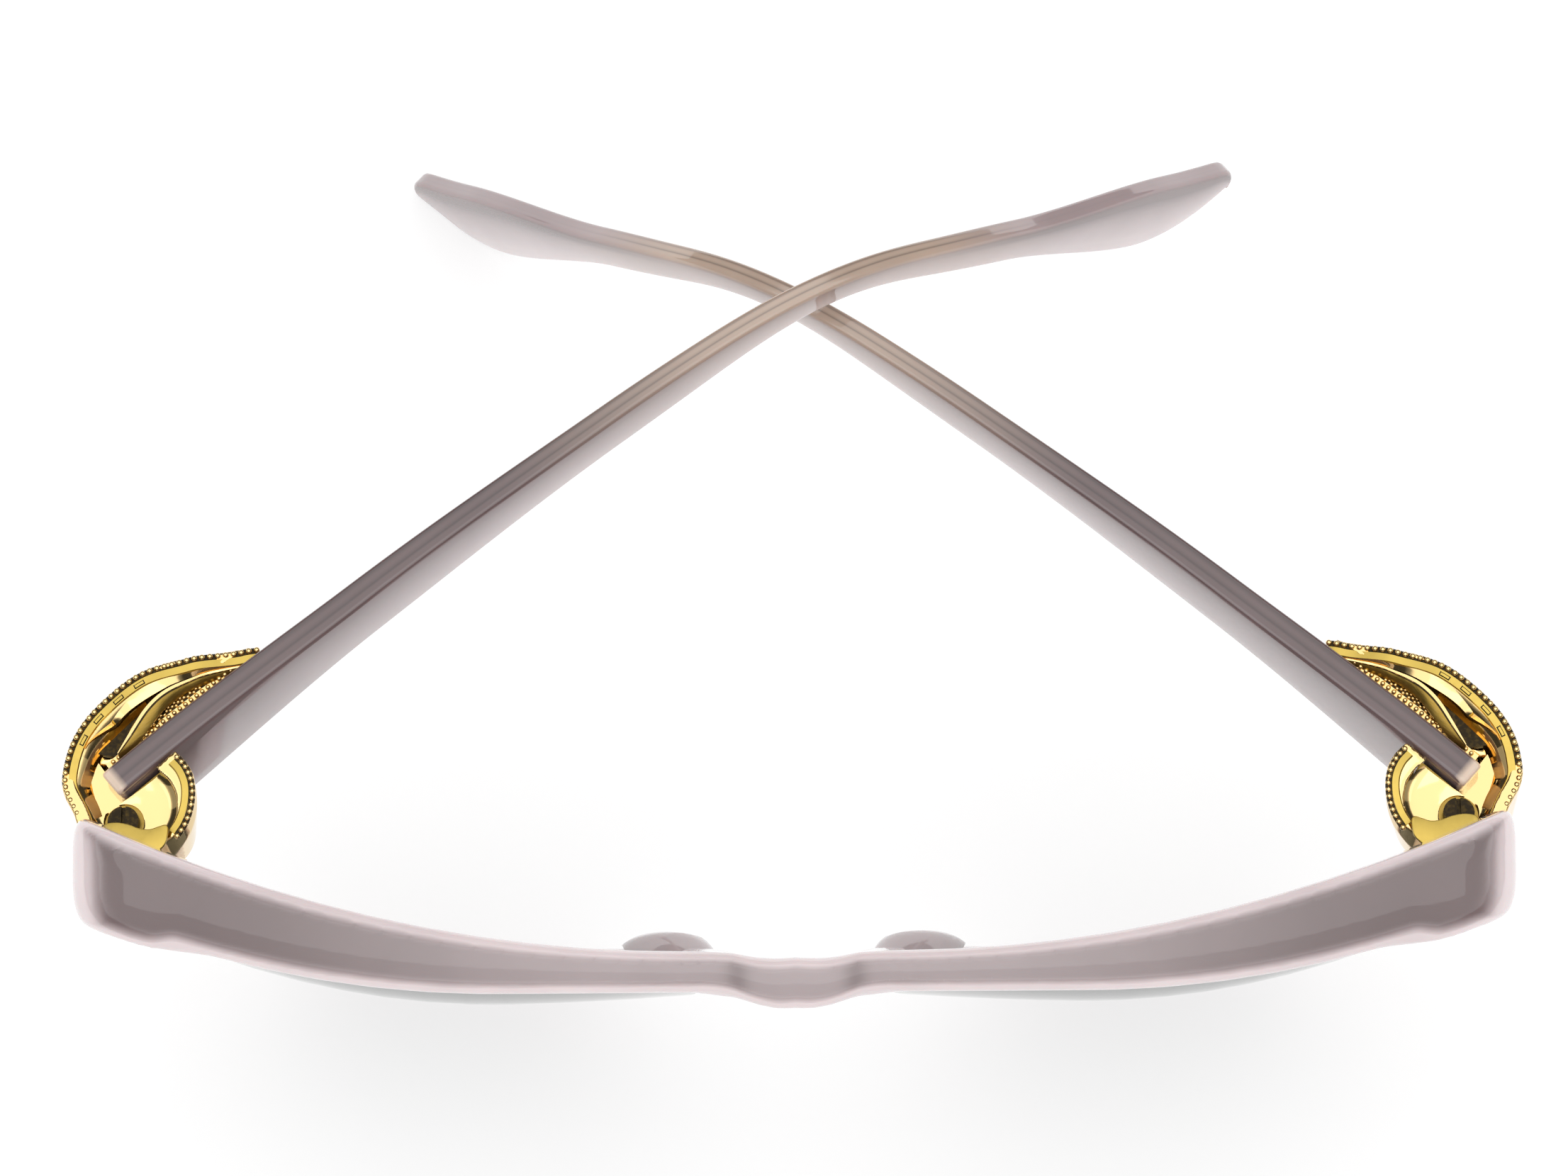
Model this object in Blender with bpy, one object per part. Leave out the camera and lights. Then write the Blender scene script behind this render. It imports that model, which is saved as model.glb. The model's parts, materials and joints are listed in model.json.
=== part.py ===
"""Sunglasses with a swept front, slim drop temples and a gold cuff round each hinge.

The model stands as it does on a table: on both lower rims and on the tip of the lower
temple, with the temples part folded and crossed. +X is the wearer's left, +Y runs from
the front to the temple tips, +Z is up. Units are metres.
"""
import math

import bmesh
import bpy
from mathutils import Matrix, Vector

MM = 0.001
GAP = 0.3 * MM              # clearance between pieces that touch on the real object

# Front, measured in its own plane: x to the side, v up the plane, n towards the rear
FRONT_LEAN = math.radians(21.0)
FRONT_FOOT_Y = 0.7 * MM
STANCE = math.radians(3.05)   # tips the whole model back until the lower temple's tip stands too
FRONT_THICKNESS = 3.9 * MM
RIM_THICKNESS = 4.1 * MM
FRONT_FLAT_HALF = 28.0 * MM
FRONT_RADIUS = 96.0 * MM
REAR_FLAT_HALF = 10.0 * MM
REAR_RADIUS = 126.0 * MM
BRIDGE_BULGE = 1.6 * MM
BRIDGE_BULGE_HALF = 8.5 * MM
BROW_BOTTOM = 34.0 * MM     # below this height the front has the rims' thickness
BROW_BLEND = 6.0 * MM
PILLOW_START = 58.0 * MM    # the end pieces swell forward from here
PILLOW_BLEND = 3.0 * MM
PILLOW_SWELL = 1.2 * MM
EDGE_ROUND = 1.2 * MM
FOOT_DEPTH = 0.8 * MM
FRONT_REACH = 68.0 * MM
FRONT_SLICE = 5.0 * MM
LENS_SLICE = 4.0 * MM

# Outline of one half of the front in millimetres, from the bridge's top to its underside
BRIDGE_TOP = 45.4
HALF_OUTLINE = [
    (6.5, 45.9), (13.0, 47.2), (25.0, 48.6), (40.0, 49.6), (54.0, 50.4), (62.5, 50.9), (66.9, 49.3),
    (68.4, 45.4), (67.8, 40.8), (65.6, 37.2), (63.2, 33.0), (62.4, 24.0), (60.4, 13.0), (54.6, 4.6),
    (46.0, 0.6), (37.5, 0.0), (29.0, 0.7), (18.5, 4.8), (10.6, 12.8), (7.6, 22.0), (6.2, 30.0),
    (3.4, 34.2),
]
BRIDGE_UNDERSIDE = 35.4
LENS_OPENING = [
    (9.9, 34.5), (11.2, 40.9), (15.8, 43.4), (28.0, 44.3), (42.0, 45.0), (53.6, 44.6), (58.0, 41.4),
    (58.6, 33.0), (57.2, 20.5), (53.8, 10.8), (47.0, 5.4), (38.0, 4.2), (28.8, 5.5), (19.6, 10.0),
    (13.6, 17.4), (10.8, 26.0),
]
LENS_THICKNESS = 2.0 * MM
LENS_RECESS = 0.7 * MM
LENS_BULGE = 2.0 * MM
LENS_MIDDLE_X = 34.0 * MM
LENS_MIDDLE = 24.6 * MM
LENS_HALF_HEIGHT = 21.0 * MM
LENS_HALF_WIDTH = 25.0 * MM

# Nose pads: half sizes to the side, rearwards and up, and how they turn to meet the nose
PAD_X = 12.2 * MM
PAD_V = 17.5 * MM
PAD_N = 3.2 * MM
PAD_HALF = (3.8 * MM, 2.6 * MM, 7.5 * MM)
PAD_SPLAY = math.radians(8.0)
PAD_FLARE = math.radians(20.0)

# Hinge axes: each temple turns about its own tilted axis, so that one passes over the other
PIVOT_X = 64.0 * MM
PIVOT_Y = 2.3 * MM
PIVOT_Z = 38.0 * MM
AXIS_LEAN = math.radians(3.2)
RIGHT_TILT = math.radians(3.2)
LEFT_TILT = math.radians(2.6)
RIGHT_FOLD = math.radians(35.8)
LEFT_FOLD = math.radians(38.4)
BARREL_RADIUS = 1.9 * MM
BARREL_HALF = 1.4 * MM
BARREL_OUTER = 4.3 * MM
SCREW_RADIUS = 0.75 * MM
SCREW_CLEARANCE = 0.15 * MM
SCREW_HEAD_RADIUS = 1.5 * MM
SCREW_HEAD_HEIGHT = 0.8 * MM
ANCHOR_REACH = 9.5 * MM
ANCHOR_WIDTH = 3.0 * MM
ARM_FOLDED = math.radians(-100.0)     # the front's arm seen from the temple, folded and open
ARM_OPEN = math.radians(-184.0)
SEAT_RADIUS = 6.6 * MM
SEAT_TOP = 6.8 * MM
SEAT_BOTTOM = -8.5 * MM
SEAT_RUNOUT = 7.5 * MM

# Temples, measured along their own centre line from the butt end
TEMPLE_START = 1.55 * MM
TEMPLE_OFFSET = 3.7 * MM
TEMPLE_LENGTH = 149.5 * MM
TEMPLE_RISE = math.radians(5.6)
TEMPLE_BOW = math.radians(7.6)
TEMPLE_CURL = math.radians(6.6)
BEND_START = 81.0 * MM
DROP_ANGLES = [(0.0, 0.0), (71.0, 0.0), (99.5, 45.2), (134.5, 49.2), (149.5, 44.5)]
TEMPLE_HEIGHTS = [(0.0, 11.7), (30.0, 8.2), (60.0, 6.2), (88.0, 3.5), (112.0, 4.6), (137.0, 9.0)]
TEMPLE_THICKNESSES = [(0.0, 2.9), (81.0, 2.1), (149.5, 2.0)]
TIP_ROUND = 13.0 * MM
TEMPLE_EDGE = 0.7 * MM
TEMPLE_STEP = 3.4 * MM

# Gold cuff in millimetres in the hinge's frame: along the temple and outwards
CUFF_OUTLINE = [
    (-3.4, 3.6), (-2.9, 6.4), (-1.6, 8.2), (0.6, 9.9), (3.6, 10.9), (7.2, 11.2), (10.8, 10.8), (14.3, 9.6),
    (17.0, 8.4), (19.4, 7.4), (20.8, 6.9), (18.0, 5.8), (8.8, 4.0), (8.5, 1.2), (7.8, -1.1), (6.3, -3.0),
    (4.6, -4.1), (2.9, -4.5), (0.8, -3.9), (-1.9, -3.0), (-4.2, 0.0),
]
CUFF_HALF_HEIGHTS = [
    (-6.0, 4.6), (-1.0, 5.1), (4.0, 5.6), (9.0, 6.0), (14.0, 5.1), (19.0, 3.6), (22.0, 2.6),
]
BACKPLATE_THICKNESS = 0.6 * MM
BACKPLATE_LENGTH = 17.0 * MM
BACKPLATE_RIM = 0.35 * MM
PIN_RADIUS = 0.7 * MM
PIN_PLACES = (5.5 * MM, 10.5 * MM)
PIN_DEPTH = 1.2 * MM
PIN_REACH = 1.4 * MM
SLOT_LENGTH = 45.0 * MM
SLOT_MARGIN = 20.0 * MM
BOWL = (7.4 * MM, 8.4 * MM, 9.0 * MM)
BOWL_RADII = (8.6 * MM, 2.0 * MM, 5.2 * MM)
TROUGH = (0.8 * MM, 4.5 * MM, 7.0 * MM)
TROUGH_RADII = (3.0 * MM, 4.2 * MM, 5.0 * MM)
WELL = (1.6 * MM, 0.2 * MM)
WELL_RADIUS = 4.1 * MM
LOWER_WELL_RADIUS = 3.2 * MM
WEB_HALF = 1.3 * MM
LEAF_START = 0.9 * MM
LEAF_FRONT = 0.8 * MM
LEAF_STEP = 2.2 * MM
LEAF_SPLIT = 3.6 * MM
LEAF_CENTRE = (2.2 * MM, 0.6 * MM)
LEAF_TOP_RADIUS = 6.0 * MM
LEAF_BOTTOM_RADIUS = 4.1 * MM
LEAF_TOP = 7.0 * MM
LEAF_BOTTOM = -4.0 * MM
SPINE_START = 1.0 * MM
SPINE_END = 4.6 * MM
SPINE_THICKNESS = 1.0 * MM
SPINE_MARGIN = 1.6 * MM

MATERIALS = {
    "acetate": ((0.36, 0.28, 0.28, 1.0), 0.12, 0.0),
    "lens_tint": ((0.12, 0.13, 0.12, 1.0), 0.03, 0.0),
    "gold": ((0.83, 0.61, 0.22, 1.0), 0.16, 1.0),
    "hinge_metal": ((0.72, 0.52, 0.20, 1.0), 0.3, 1.0),
    "steel": ((0.62, 0.60, 0.55, 1.0), 0.25, 1.0),
}


def ease(knots, place):
    """Value at a place between knots, eased so that it leaves and reaches each knot level."""
    if place <= knots[0][0]:
        return knots[0][1]
    for (a, low), (b, high) in zip(knots, knots[1:]):
        if place <= b:
            t = (place - a) / (b - a)
            return low + (high - low) * t * t * (3.0 - 2.0 * t)
    return knots[-1][1]


def clear_scene():
    """Remove every object of the start scene."""
    for old in list(bpy.data.objects):
        bpy.data.objects.remove(old, do_unlink=True)


def collection(name):
    group = bpy.data.collections.new(name)
    bpy.context.scene.collection.children.link(group)
    return group


def material(name):
    """Principled material made once and then shared."""
    found = bpy.data.materials.get(name)
    if found:
        return found
    color, roughness, metallic = MATERIALS[name]
    made = bpy.data.materials.new(name)
    made.use_nodes = True
    shader = made.node_tree.nodes["Principled BSDF"]
    shader.inputs["Base Color"].default_value = color
    shader.inputs["Roughness"].default_value = roughness
    shader.inputs["Metallic"].default_value = metallic
    return made


def add_object(name, bm, finish, parent):
    """Turn a bmesh into a named object in the part's collection."""
    bmesh.ops.recalc_face_normals(bm, faces=bm.faces)
    mesh = bpy.data.meshes.new(name)
    bm.to_mesh(mesh)
    bm.free()
    made = bpy.data.objects.new(name, mesh)
    PART.objects.link(made)
    mesh.materials.append(material(finish))
    made.parent = parent
    mesh.shade_smooth()
    mesh.set_sharp_from_angle(angle=math.radians(40.0))
    return made


def add_cutter(name, bm, parent):
    """Turn a bmesh into a hidden cutter."""
    made = add_object(name, bm, "steel", parent)
    PART.objects.unlink(made)
    CUTTERS.objects.link(made)
    made.hide_render = True
    made.display_type = "WIRE"
    return made


def combine(target, other, operation):
    """Add a boolean modifier with the exact solver."""
    step = target.modifiers.new(f"{operation.lower()} {other.name}", "BOOLEAN")
    step.operation = operation
    step.object = other
    step.solver = "EXACT"


def add_empty(name, parent, matrix):
    made = bpy.data.objects.new(name, None)
    PART.objects.link(made)
    made.parent = parent
    made.matrix_local = matrix
    return made


# Basic solids

def box(low, high):
    """A box between two corners."""
    bm = bmesh.new()
    size = Vector(high) - Vector(low)
    place = Matrix.Translation((Vector(high) + Vector(low)) / 2.0) @ Matrix.Diagonal((*size, 1.0))
    bmesh.ops.create_cube(bm, size=1.0, matrix=place)
    return bm


def rod(radius, low, high, sides=24, tip_radius=None):
    """An upright cylinder or cone between two heights on the z axis."""
    bm = bmesh.new()
    top = radius if tip_radius is None else tip_radius
    place = Matrix.Translation((0.0, 0.0, (low + high) / 2.0))
    bmesh.ops.create_cone(bm, cap_ends=True, segments=sides, radius1=radius, radius2=top,
                          depth=high - low, matrix=place)
    return bm


def ellipsoid(centre, radii, rings=12, sides=20, turn=Matrix.Identity(4)):
    bm = bmesh.new()
    place = Matrix.Translation(centre) @ turn @ Matrix.Diagonal((*radii, 1.0))
    bmesh.ops.create_uvsphere(bm, u_segments=sides, v_segments=rings, radius=1.0, matrix=place)
    return bm


def moved(bm, matrix):
    bmesh.ops.transform(bm, matrix=matrix, verts=bm.verts)
    return bm


def loft(rings):
    """A closed solid through rings that hold the same number of points."""
    bm = bmesh.new()
    loops = [[bm.verts.new(point) for point in ring] for ring in rings]
    count = len(rings[0])
    for near, far in zip(loops, loops[1:]):
        for i in range(count):
            j = (i + 1) % count
            bm.faces.new((near[i], near[j], far[j], far[i]))
    bm.faces.new(reversed(loops[0]))
    bm.faces.new(loops[-1])
    return bm


def turned(profile, sides):
    """A solid of revolution about the z axis through radii at rising heights."""
    rings = []
    for radius, height in profile:
        angles = [2.0 * math.pi * k / sides for k in range(sides)]
        rings.append([Vector((radius * math.cos(a), radius * math.sin(a), height)) for a in angles])
    return loft(rings)


def outline_solid(loops, half_depth, rounding=0.0, fineness=5, rounding_steps=2):
    """A flat outline in x and y with its holes, given depth along z, as a welded bmesh."""
    curve = bpy.data.curves.new("outline", "CURVE")
    curve.dimensions = "2D"
    curve.fill_mode = "BOTH"
    curve.extrude = half_depth - rounding
    curve.bevel_depth = rounding
    curve.bevel_resolution = rounding_steps
    curve.offset = -rounding
    for loop in loops:
        spline = curve.splines.new("BEZIER")
        spline.bezier_points.add(len(loop) - 1)
        spline.use_cyclic_u = True
        spline.resolution_u = fineness
        for point, (x, y) in zip(spline.bezier_points, loop):
            point.co = (x, y, 0.0)
            point.handle_left_type = "AUTO"
            point.handle_right_type = "AUTO"
    holder = bpy.data.objects.new("outline", curve)
    CUTTERS.objects.link(holder)
    bpy.context.view_layer.update()
    solid = bpy.data.meshes.new_from_object(holder.evaluated_get(bpy.context.evaluated_depsgraph_get()))
    bpy.data.objects.remove(holder, do_unlink=True)
    bm = bmesh.new()
    bm.from_mesh(solid)
    bpy.data.meshes.remove(solid)
    bmesh.ops.remove_doubles(bm, verts=bm.verts, dist=0.00001)
    return bm


# The front

def front_face(x, v):
    """How far behind the middle of the bridge's flanks the front surface lies."""
    side = abs(x)
    back = max(0.0, side - FRONT_FLAT_HALF) ** 2 / (2.0 * FRONT_RADIUS)
    if side < BRIDGE_BULGE_HALF:
        back -= BRIDGE_BULGE * math.cos(side / BRIDGE_BULGE_HALF * math.pi / 2.0) ** 2
    swell = ease([(PILLOW_START, 0.0), (PILLOW_START + PILLOW_BLEND, PILLOW_SWELL)], side)
    return back - swell * brow_share(v)


def brow_share(v):
    """0 on the rims, 1 on the brow and the end pieces."""
    return ease([(BROW_BOTTOM, 0.0), (BROW_BOTTOM + BROW_BLEND, 1.0)], v)


def thickness(x, v):
    side = abs(x)
    rear = FRONT_THICKNESS + max(0.0, side - REAR_FLAT_HALF) ** 2 / (2.0 * REAR_RADIUS)
    if side < BRIDGE_BULGE_HALF:
        rear -= 0.4 * BRIDGE_BULGE * math.cos(side / BRIDGE_BULGE_HALF * math.pi / 2.0) ** 2
    brow = rear - front_face(x, v)
    return RIM_THICKNESS + (brow - RIM_THICKNESS) * brow_share(v)


def front_outline():
    """The whole outline of the front, both halves."""
    right = [(-x * MM, v * MM) for x, v in reversed(HALF_OUTLINE)]
    left = [(x * MM, v * MM) for x, v in HALF_OUTLINE]
    return [(0.0, BRIDGE_TOP * MM), *left, (0.0, BRIDGE_UNDERSIDE * MM), *right]


def opening(side, inset=0.0):
    """A lens opening, drawn in by an inset."""
    points = [Vector((x * MM * side, v * MM)) for x, v in LENS_OPENING]
    centre = sum(points, Vector((0.0, 0.0))) / len(points)
    drawn = []
    for i, point in enumerate(points):
        along = points[(i + 1) % len(points)] - points[i - 1]
        inward = Vector((-along.y, along.x)).normalized()
        if inward.dot(centre - point) < 0.0:
            inward.negate()
        drawn.append(tuple(point + inward * inset))
    return drawn


def slice_across(bm, step, reach):
    """Cut upright lines into flat faces, so that they can bend."""
    count = int(reach / step)
    for k in range(-count, count + 1):
        geometry = bm.verts[:] + bm.edges[:] + bm.faces[:]
        bmesh.ops.bisect_plane(bm, geom=geometry, dist=0.000002, plane_co=(k * step + 0.00013, 0.0, 0.0),
                               plane_no=(1.0, 0.0, 0.0))


def make_front(parent):
    half = FRONT_THICKNESS / 2.0
    bm = outline_solid([front_outline(), opening(1), opening(-1)], half, EDGE_ROUND, 4)
    slice_across(bm, FRONT_SLICE, FRONT_REACH)
    for vert in bm.verts:
        x, v, depth = vert.co
        share = depth / FRONT_THICKNESS + 0.5
        vert.co = (x, front_face(x, v) + share * thickness(x, v), v)
    bmesh.ops.triangulate(bm, faces=bm.faces)
    return add_object("front_frame", bm, "acetate", parent)


def make_lens(name, side, parent):
    """A curved lens that bulges forward between the rims."""
    bm = outline_solid([opening(side, GAP)], LENS_THICKNESS / 2.0, 0.0, 4)
    slice_across(bm, LENS_SLICE, FRONT_REACH)
    for k in range(1, 9):
        geometry = bm.verts[:] + bm.edges[:] + bm.faces[:]
        bmesh.ops.bisect_plane(bm, geom=geometry, dist=0.000002,
                               plane_co=(0.0, k * FRONT_SLICE + 0.00017, 0.0), plane_no=(0.0, 1.0, 0.0))
    for vert in bm.verts:
        x, v, depth = vert.co
        up = (v - LENS_MIDDLE) / LENS_HALF_HEIGHT
        across = (abs(x) - LENS_MIDDLE_X) / LENS_HALF_WIDTH
        bulge = LENS_BULGE * max(0.0, 1.0 - up * up) * (1.0 - 0.5 * across * across)
        vert.co = (x, front_face(x, 0.0) + LENS_RECESS - bulge + depth + LENS_THICKNESS / 2.0, v)
    bmesh.ops.triangulate(bm, faces=bm.faces)
    return add_object(name, bm, "lens_tint", parent)


def make_pad(name, side, parent):
    """A nose pad glued behind the rim beside the bridge."""
    turn = Matrix.Rotation(side * PAD_SPLAY, 4, "Z") @ Matrix.Rotation(-side * PAD_FLARE, 4, "Y")
    centre = (side * PAD_X, PAD_N, PAD_V)
    pad = add_object(name, ellipsoid(centre, PAD_HALF, 14, 20, turn), "acetate", parent)
    keep = RIM_THICKNESS + GAP
    low = (-0.1, -0.1, -0.1)
    combine(pad, add_cutter(f"{name}_seat", box(low, (0.1, keep, 0.1)), parent), "DIFFERENCE")
    return pad


# Temples

def temple_line(stations):
    """Places, directions out and up, along the temple's centre line in the hinge's frame."""
    frames = []
    place = Vector((TEMPLE_START, TEMPLE_OFFSET, 0.0))
    walked = 0.0
    step = 0.5 * MM
    for station in stations:
        while walked < station - 1e-9:
            stride = min(step, station - walked)
            place = place + heading(walked + stride / 2.0)[0] * stride
            walked += stride
        while walked > station + 1e-9:
            stride = min(step, walked - station)
            place = place - heading(walked - stride / 2.0)[0] * stride
            walked -= stride
        frames.append((place.copy(), *heading(station)[1:]))
    return frames


def heading(station):
    """Direction along, outwards and upwards at a station of the centre line."""
    share = min(1.0, max(0.0, station / BEND_START))
    bow = TEMPLE_BOW * (0.5 - share)
    curl = ease([(BEND_START / MM - 5.0, 0.0), (TEMPLE_LENGTH / MM, TEMPLE_CURL)], station / MM)
    turn = bow + curl
    rise = TEMPLE_RISE - math.radians(ease(DROP_ANGLES, station / MM))
    along = Vector((math.cos(rise) * math.cos(turn), math.cos(rise) * math.sin(turn), math.sin(rise)))
    up = Vector((-math.sin(rise) * math.cos(turn), -math.sin(rise) * math.sin(turn), math.cos(rise)))
    return along, Vector((-math.sin(turn), math.cos(turn), 0.0)), up


def flip(points, side):
    """Mirror points of the hinge's frame for the wearer's left side."""
    return [Vector((p.x, -side * p.y, p.z)) for p in points]


def temple_heights(station):
    """Top and bottom of the temple about its centre line."""
    half = ease(TEMPLE_HEIGHTS, station / MM) * MM / 2.0
    left = TEMPLE_LENGTH - station
    if left >= TIP_ROUND:
        return half, -half
    share = math.sqrt(max(0.0, 1.0 - (1.0 - left / TIP_ROUND) ** 2))
    nose = min(1.0, left / (0.22 * TIP_ROUND))
    top = half * (0.5 + 0.5 * math.sqrt(max(0.0, 1.0 - (1.0 - nose) ** 2)))
    return top, top - (top + half) * max(0.12, share)


def make_temple(name, side, parent):
    """A slim temple with rounded edges that bows, drops behind the ear and ends in a paddle."""
    count = int(TEMPLE_LENGTH / TEMPLE_STEP)
    stations = [TEMPLE_LENGTH * k / count for k in range(count)]
    last = stations.pop()
    for share in (0.0, 0.3, 0.55, 0.75, 0.88, 0.96, 1.0):
        stations.append(last + (TEMPLE_LENGTH - last) * share)
    rings = []
    for station, (place, out, up) in zip(stations, temple_line(stations)):
        half = ease(TEMPLE_THICKNESSES, station / MM) * MM / 2.0
        top, bottom = temple_heights(station)
        edge = min(TEMPLE_EDGE, 0.45 * (top - bottom), 0.7 * half)
        inner = edge * 0.35
        ring = [
            (half, top - edge), (half - inner, top - inner), (half - edge, top),
            (edge - half, top), (inner - half, top - inner), (-half, top - edge),
            (-half, bottom + edge), (inner - half, bottom + inner), (edge - half, bottom),
            (half - edge, bottom), (half - inner, bottom + inner), (half, bottom + edge),
        ]
        rings.append(flip([place + out * n + up * w for n, w in ring], side))
    return add_object(name, loft(rings), "acetate", parent)


def temple_shell(side, start, end, inner, outer, extra):
    """A plate that follows the temple between two offsets from its centre line."""
    stations = [start + (end - start) * k / 7.0 for k in range(8)]
    rings = []
    for station, (place, out, up) in zip(stations, temple_line(stations)):
        half = ease(TEMPLE_HEIGHTS, station / MM) * MM / 2.0 + extra
        ring = [(inner, half), (outer, half), (outer, -half), (inner, -half)]
        rings.append(flip([place + out * n + up * w for n, w in ring], side))
    return loft(rings)


# The cuff and the hinge, in the hinge's frame: z is the axis, x runs along the temple

def half_thickness(station):
    return ease(TEMPLE_THICKNESSES, station / MM) * MM / 2.0


def arm_sweep(radius, low, high, half_width, side):
    """The room that an arm of some width sweeps over as the temple turns about the axis."""
    steps = 12
    first = Vector((-math.sin(ARM_FOLDED), math.cos(ARM_FOLDED), 0.0)) * half_width
    last = Vector((-math.sin(ARM_OPEN), math.cos(ARM_OPEN), 0.0)) * -half_width
    points = [first]
    for k in range(steps + 1):
        angle = ARM_FOLDED + (ARM_OPEN - ARM_FOLDED) * k / steps
        shift = first.lerp(last, k / steps)
        points.append(Vector((radius * math.cos(angle), radius * math.sin(angle), 0.0)) + shift)
    points.append(last)
    ring = flip(points, side)
    lower = [point + Vector((0.0, 0.0, low)) for point in ring]
    upper = [point + Vector((0.0, 0.0, high)) for point in ring]
    return loft([lower, upper])


def cuff_side_profile():
    """Outline of the cuff seen from the side, which follows the temple's rise."""
    slope = math.tan(TEMPLE_RISE)
    top = [(s * MM, (half + s * slope) * MM) for s, half in CUFF_HALF_HEIGHTS]
    bottom = [(s * MM, (-half + s * slope) * MM) for s, half in reversed(CUFF_HALF_HEIGHTS)]
    return top + bottom


def leaf_side(side, start, outward):
    """The region on the temple's inner side, from a distance along the temple on."""
    sides = sorted((side * 8.0 * MM, -side * outward))
    return box((start, sides[0], -15.0 * MM), (12.0 * MM, sides[1], 15.0 * MM))


def make_cuff(word, side, parent):
    """A polished C in plan: a bulging outer leaf with a front wall, and a small inner leaf."""
    plan = [(s * MM, -side * n * MM) for s, n in CUFF_OUTLINE]
    cuff = add_object(f"cuff_{word}", outline_solid([plan], 12.0 * MM, 0.0, 3), "gold", parent)
    leaf = add_object(f"cuff_leaf_{word}", outline_solid([plan], 12.0 * MM, 0.0, 3), "gold", parent)
    profile = outline_solid([cuff_side_profile()], 40.0 * MM, 0.0, 3)
    moved(profile, Matrix.Rotation(math.pi / 2.0, 4, "X"))
    keep = add_cutter(f"cuff_side_profile_{word}", profile, parent)
    combine(cuff, keep, "INTERSECT")
    combine(leaf, keep, "INTERSECT")
    inner = -(half_thickness(0.0) + GAP)
    outer = half_thickness(0.0) + 2.0 * GAP + BACKPLATE_THICKNESS
    reach = BARREL_HALF + GAP
    spine = inner - SPINE_THICKNESS - 2.0 * GAP
    rooms = {
        "slot": temple_shell(side, -GAP, SLOT_LENGTH, inner, outer, SLOT_MARGIN),
        "barrel_room": rod(BARREL_RADIUS + 1.3 * GAP, -15.0 * MM, 15.0 * MM),
        "arm_room": arm_sweep(12.0 * MM, -reach, reach, ANCHOR_WIDTH / 2.0 + GAP, side),
        "spine_room": temple_shell(side, 0.2 * MM, SPINE_END + GAP, spine, 0.0, 0.0),
    }
    for level in (1.0, -1.0):
        label = "upper" if level > 0.0 else "lower"
        low, high = sorted((level * WEB_HALF, level * 15.0 * MM))
        well = Matrix.Translation((WELL[0], -side * WELL[1], 0.0))
        rooms[f"{label}_bowl"] = ellipsoid((BOWL[0], -side * BOWL[1], level * BOWL[2]), BOWL_RADII)
        rooms[f"{label}_trough"] = ellipsoid((TROUGH[0], -side * TROUGH[1], level * TROUGH[2]), TROUGH_RADII)
        radius = WELL_RADIUS if level > 0.0 else LOWER_WELL_RADIUS
        rooms[f"{label}_well"] = moved(rod(radius, low, high), well)
    for label, room in rooms.items():
        cutter = add_cutter(f"cuff_{label}_{word}", room, parent)
        combine(cuff, cutter, "DIFFERENCE")
        combine(leaf, cutter, "DIFFERENCE")
    region = add_cutter(f"cuff_split_{word}", leaf_side(side, LEAF_START, LEAF_FRONT), parent)
    behind = add_cutter(f"cuff_split_behind_{word}", leaf_side(side, LEAF_STEP, LEAF_SPLIT), parent)
    combine(region, behind, "UNION")
    combine(cuff, region, "DIFFERENCE")
    combine(leaf, region, "INTERSECT")
    taper = rod(LEAF_BOTTOM_RADIUS, LEAF_BOTTOM, LEAF_TOP, 48, LEAF_TOP_RADIUS)
    moved(taper, Matrix.Translation((LEAF_CENTRE[0], -side * LEAF_CENTRE[1], 0.0)))
    combine(leaf, add_cutter(f"cuff_leaf_taper_{word}", taper, parent), "INTERSECT")
    return cuff


def make_backplate(name, side, parent):
    """A thin plate between the cuff and the temple's outer face."""
    inner = half_thickness(0.0) + GAP
    plate = temple_shell(side, 0.6 * MM, BACKPLATE_LENGTH, inner, inner + BACKPLATE_THICKNESS, BACKPLATE_RIM)
    return add_object(name, plate, "gold", parent)


def pin_matrix(station, side):
    """Frame of a pin whose z axis points out of the temple."""
    place, out, up = temple_line([station])[0]
    place, out, up = flip([place, out, up], side)
    along = up.cross(out)
    return Matrix.Translation(place) @ Matrix((along, up, out)).transposed().to_4x4()


def make_pin(name, station, side, parent, holed):
    """A pin that holds the cuff and its plate on the temple."""
    half = half_thickness(0.0)
    seat = half + 2.0 * GAP + BACKPLATE_THICKNESS
    frame = pin_matrix(station, side)
    shank = rod(PIN_RADIUS, half - PIN_DEPTH, seat + PIN_REACH, 16)
    pin = add_object(name, moved(shank, frame), "steel", parent)
    hole = rod(PIN_RADIUS + SCREW_CLEARANCE, half - PIN_DEPTH - GAP, seat + PIN_REACH + GAP, 16)
    cutter = add_cutter(f"{name}_hole", moved(hole, frame), parent)
    for target in holed:
        combine(target, cutter, "DIFFERENCE")
    return pin


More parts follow.
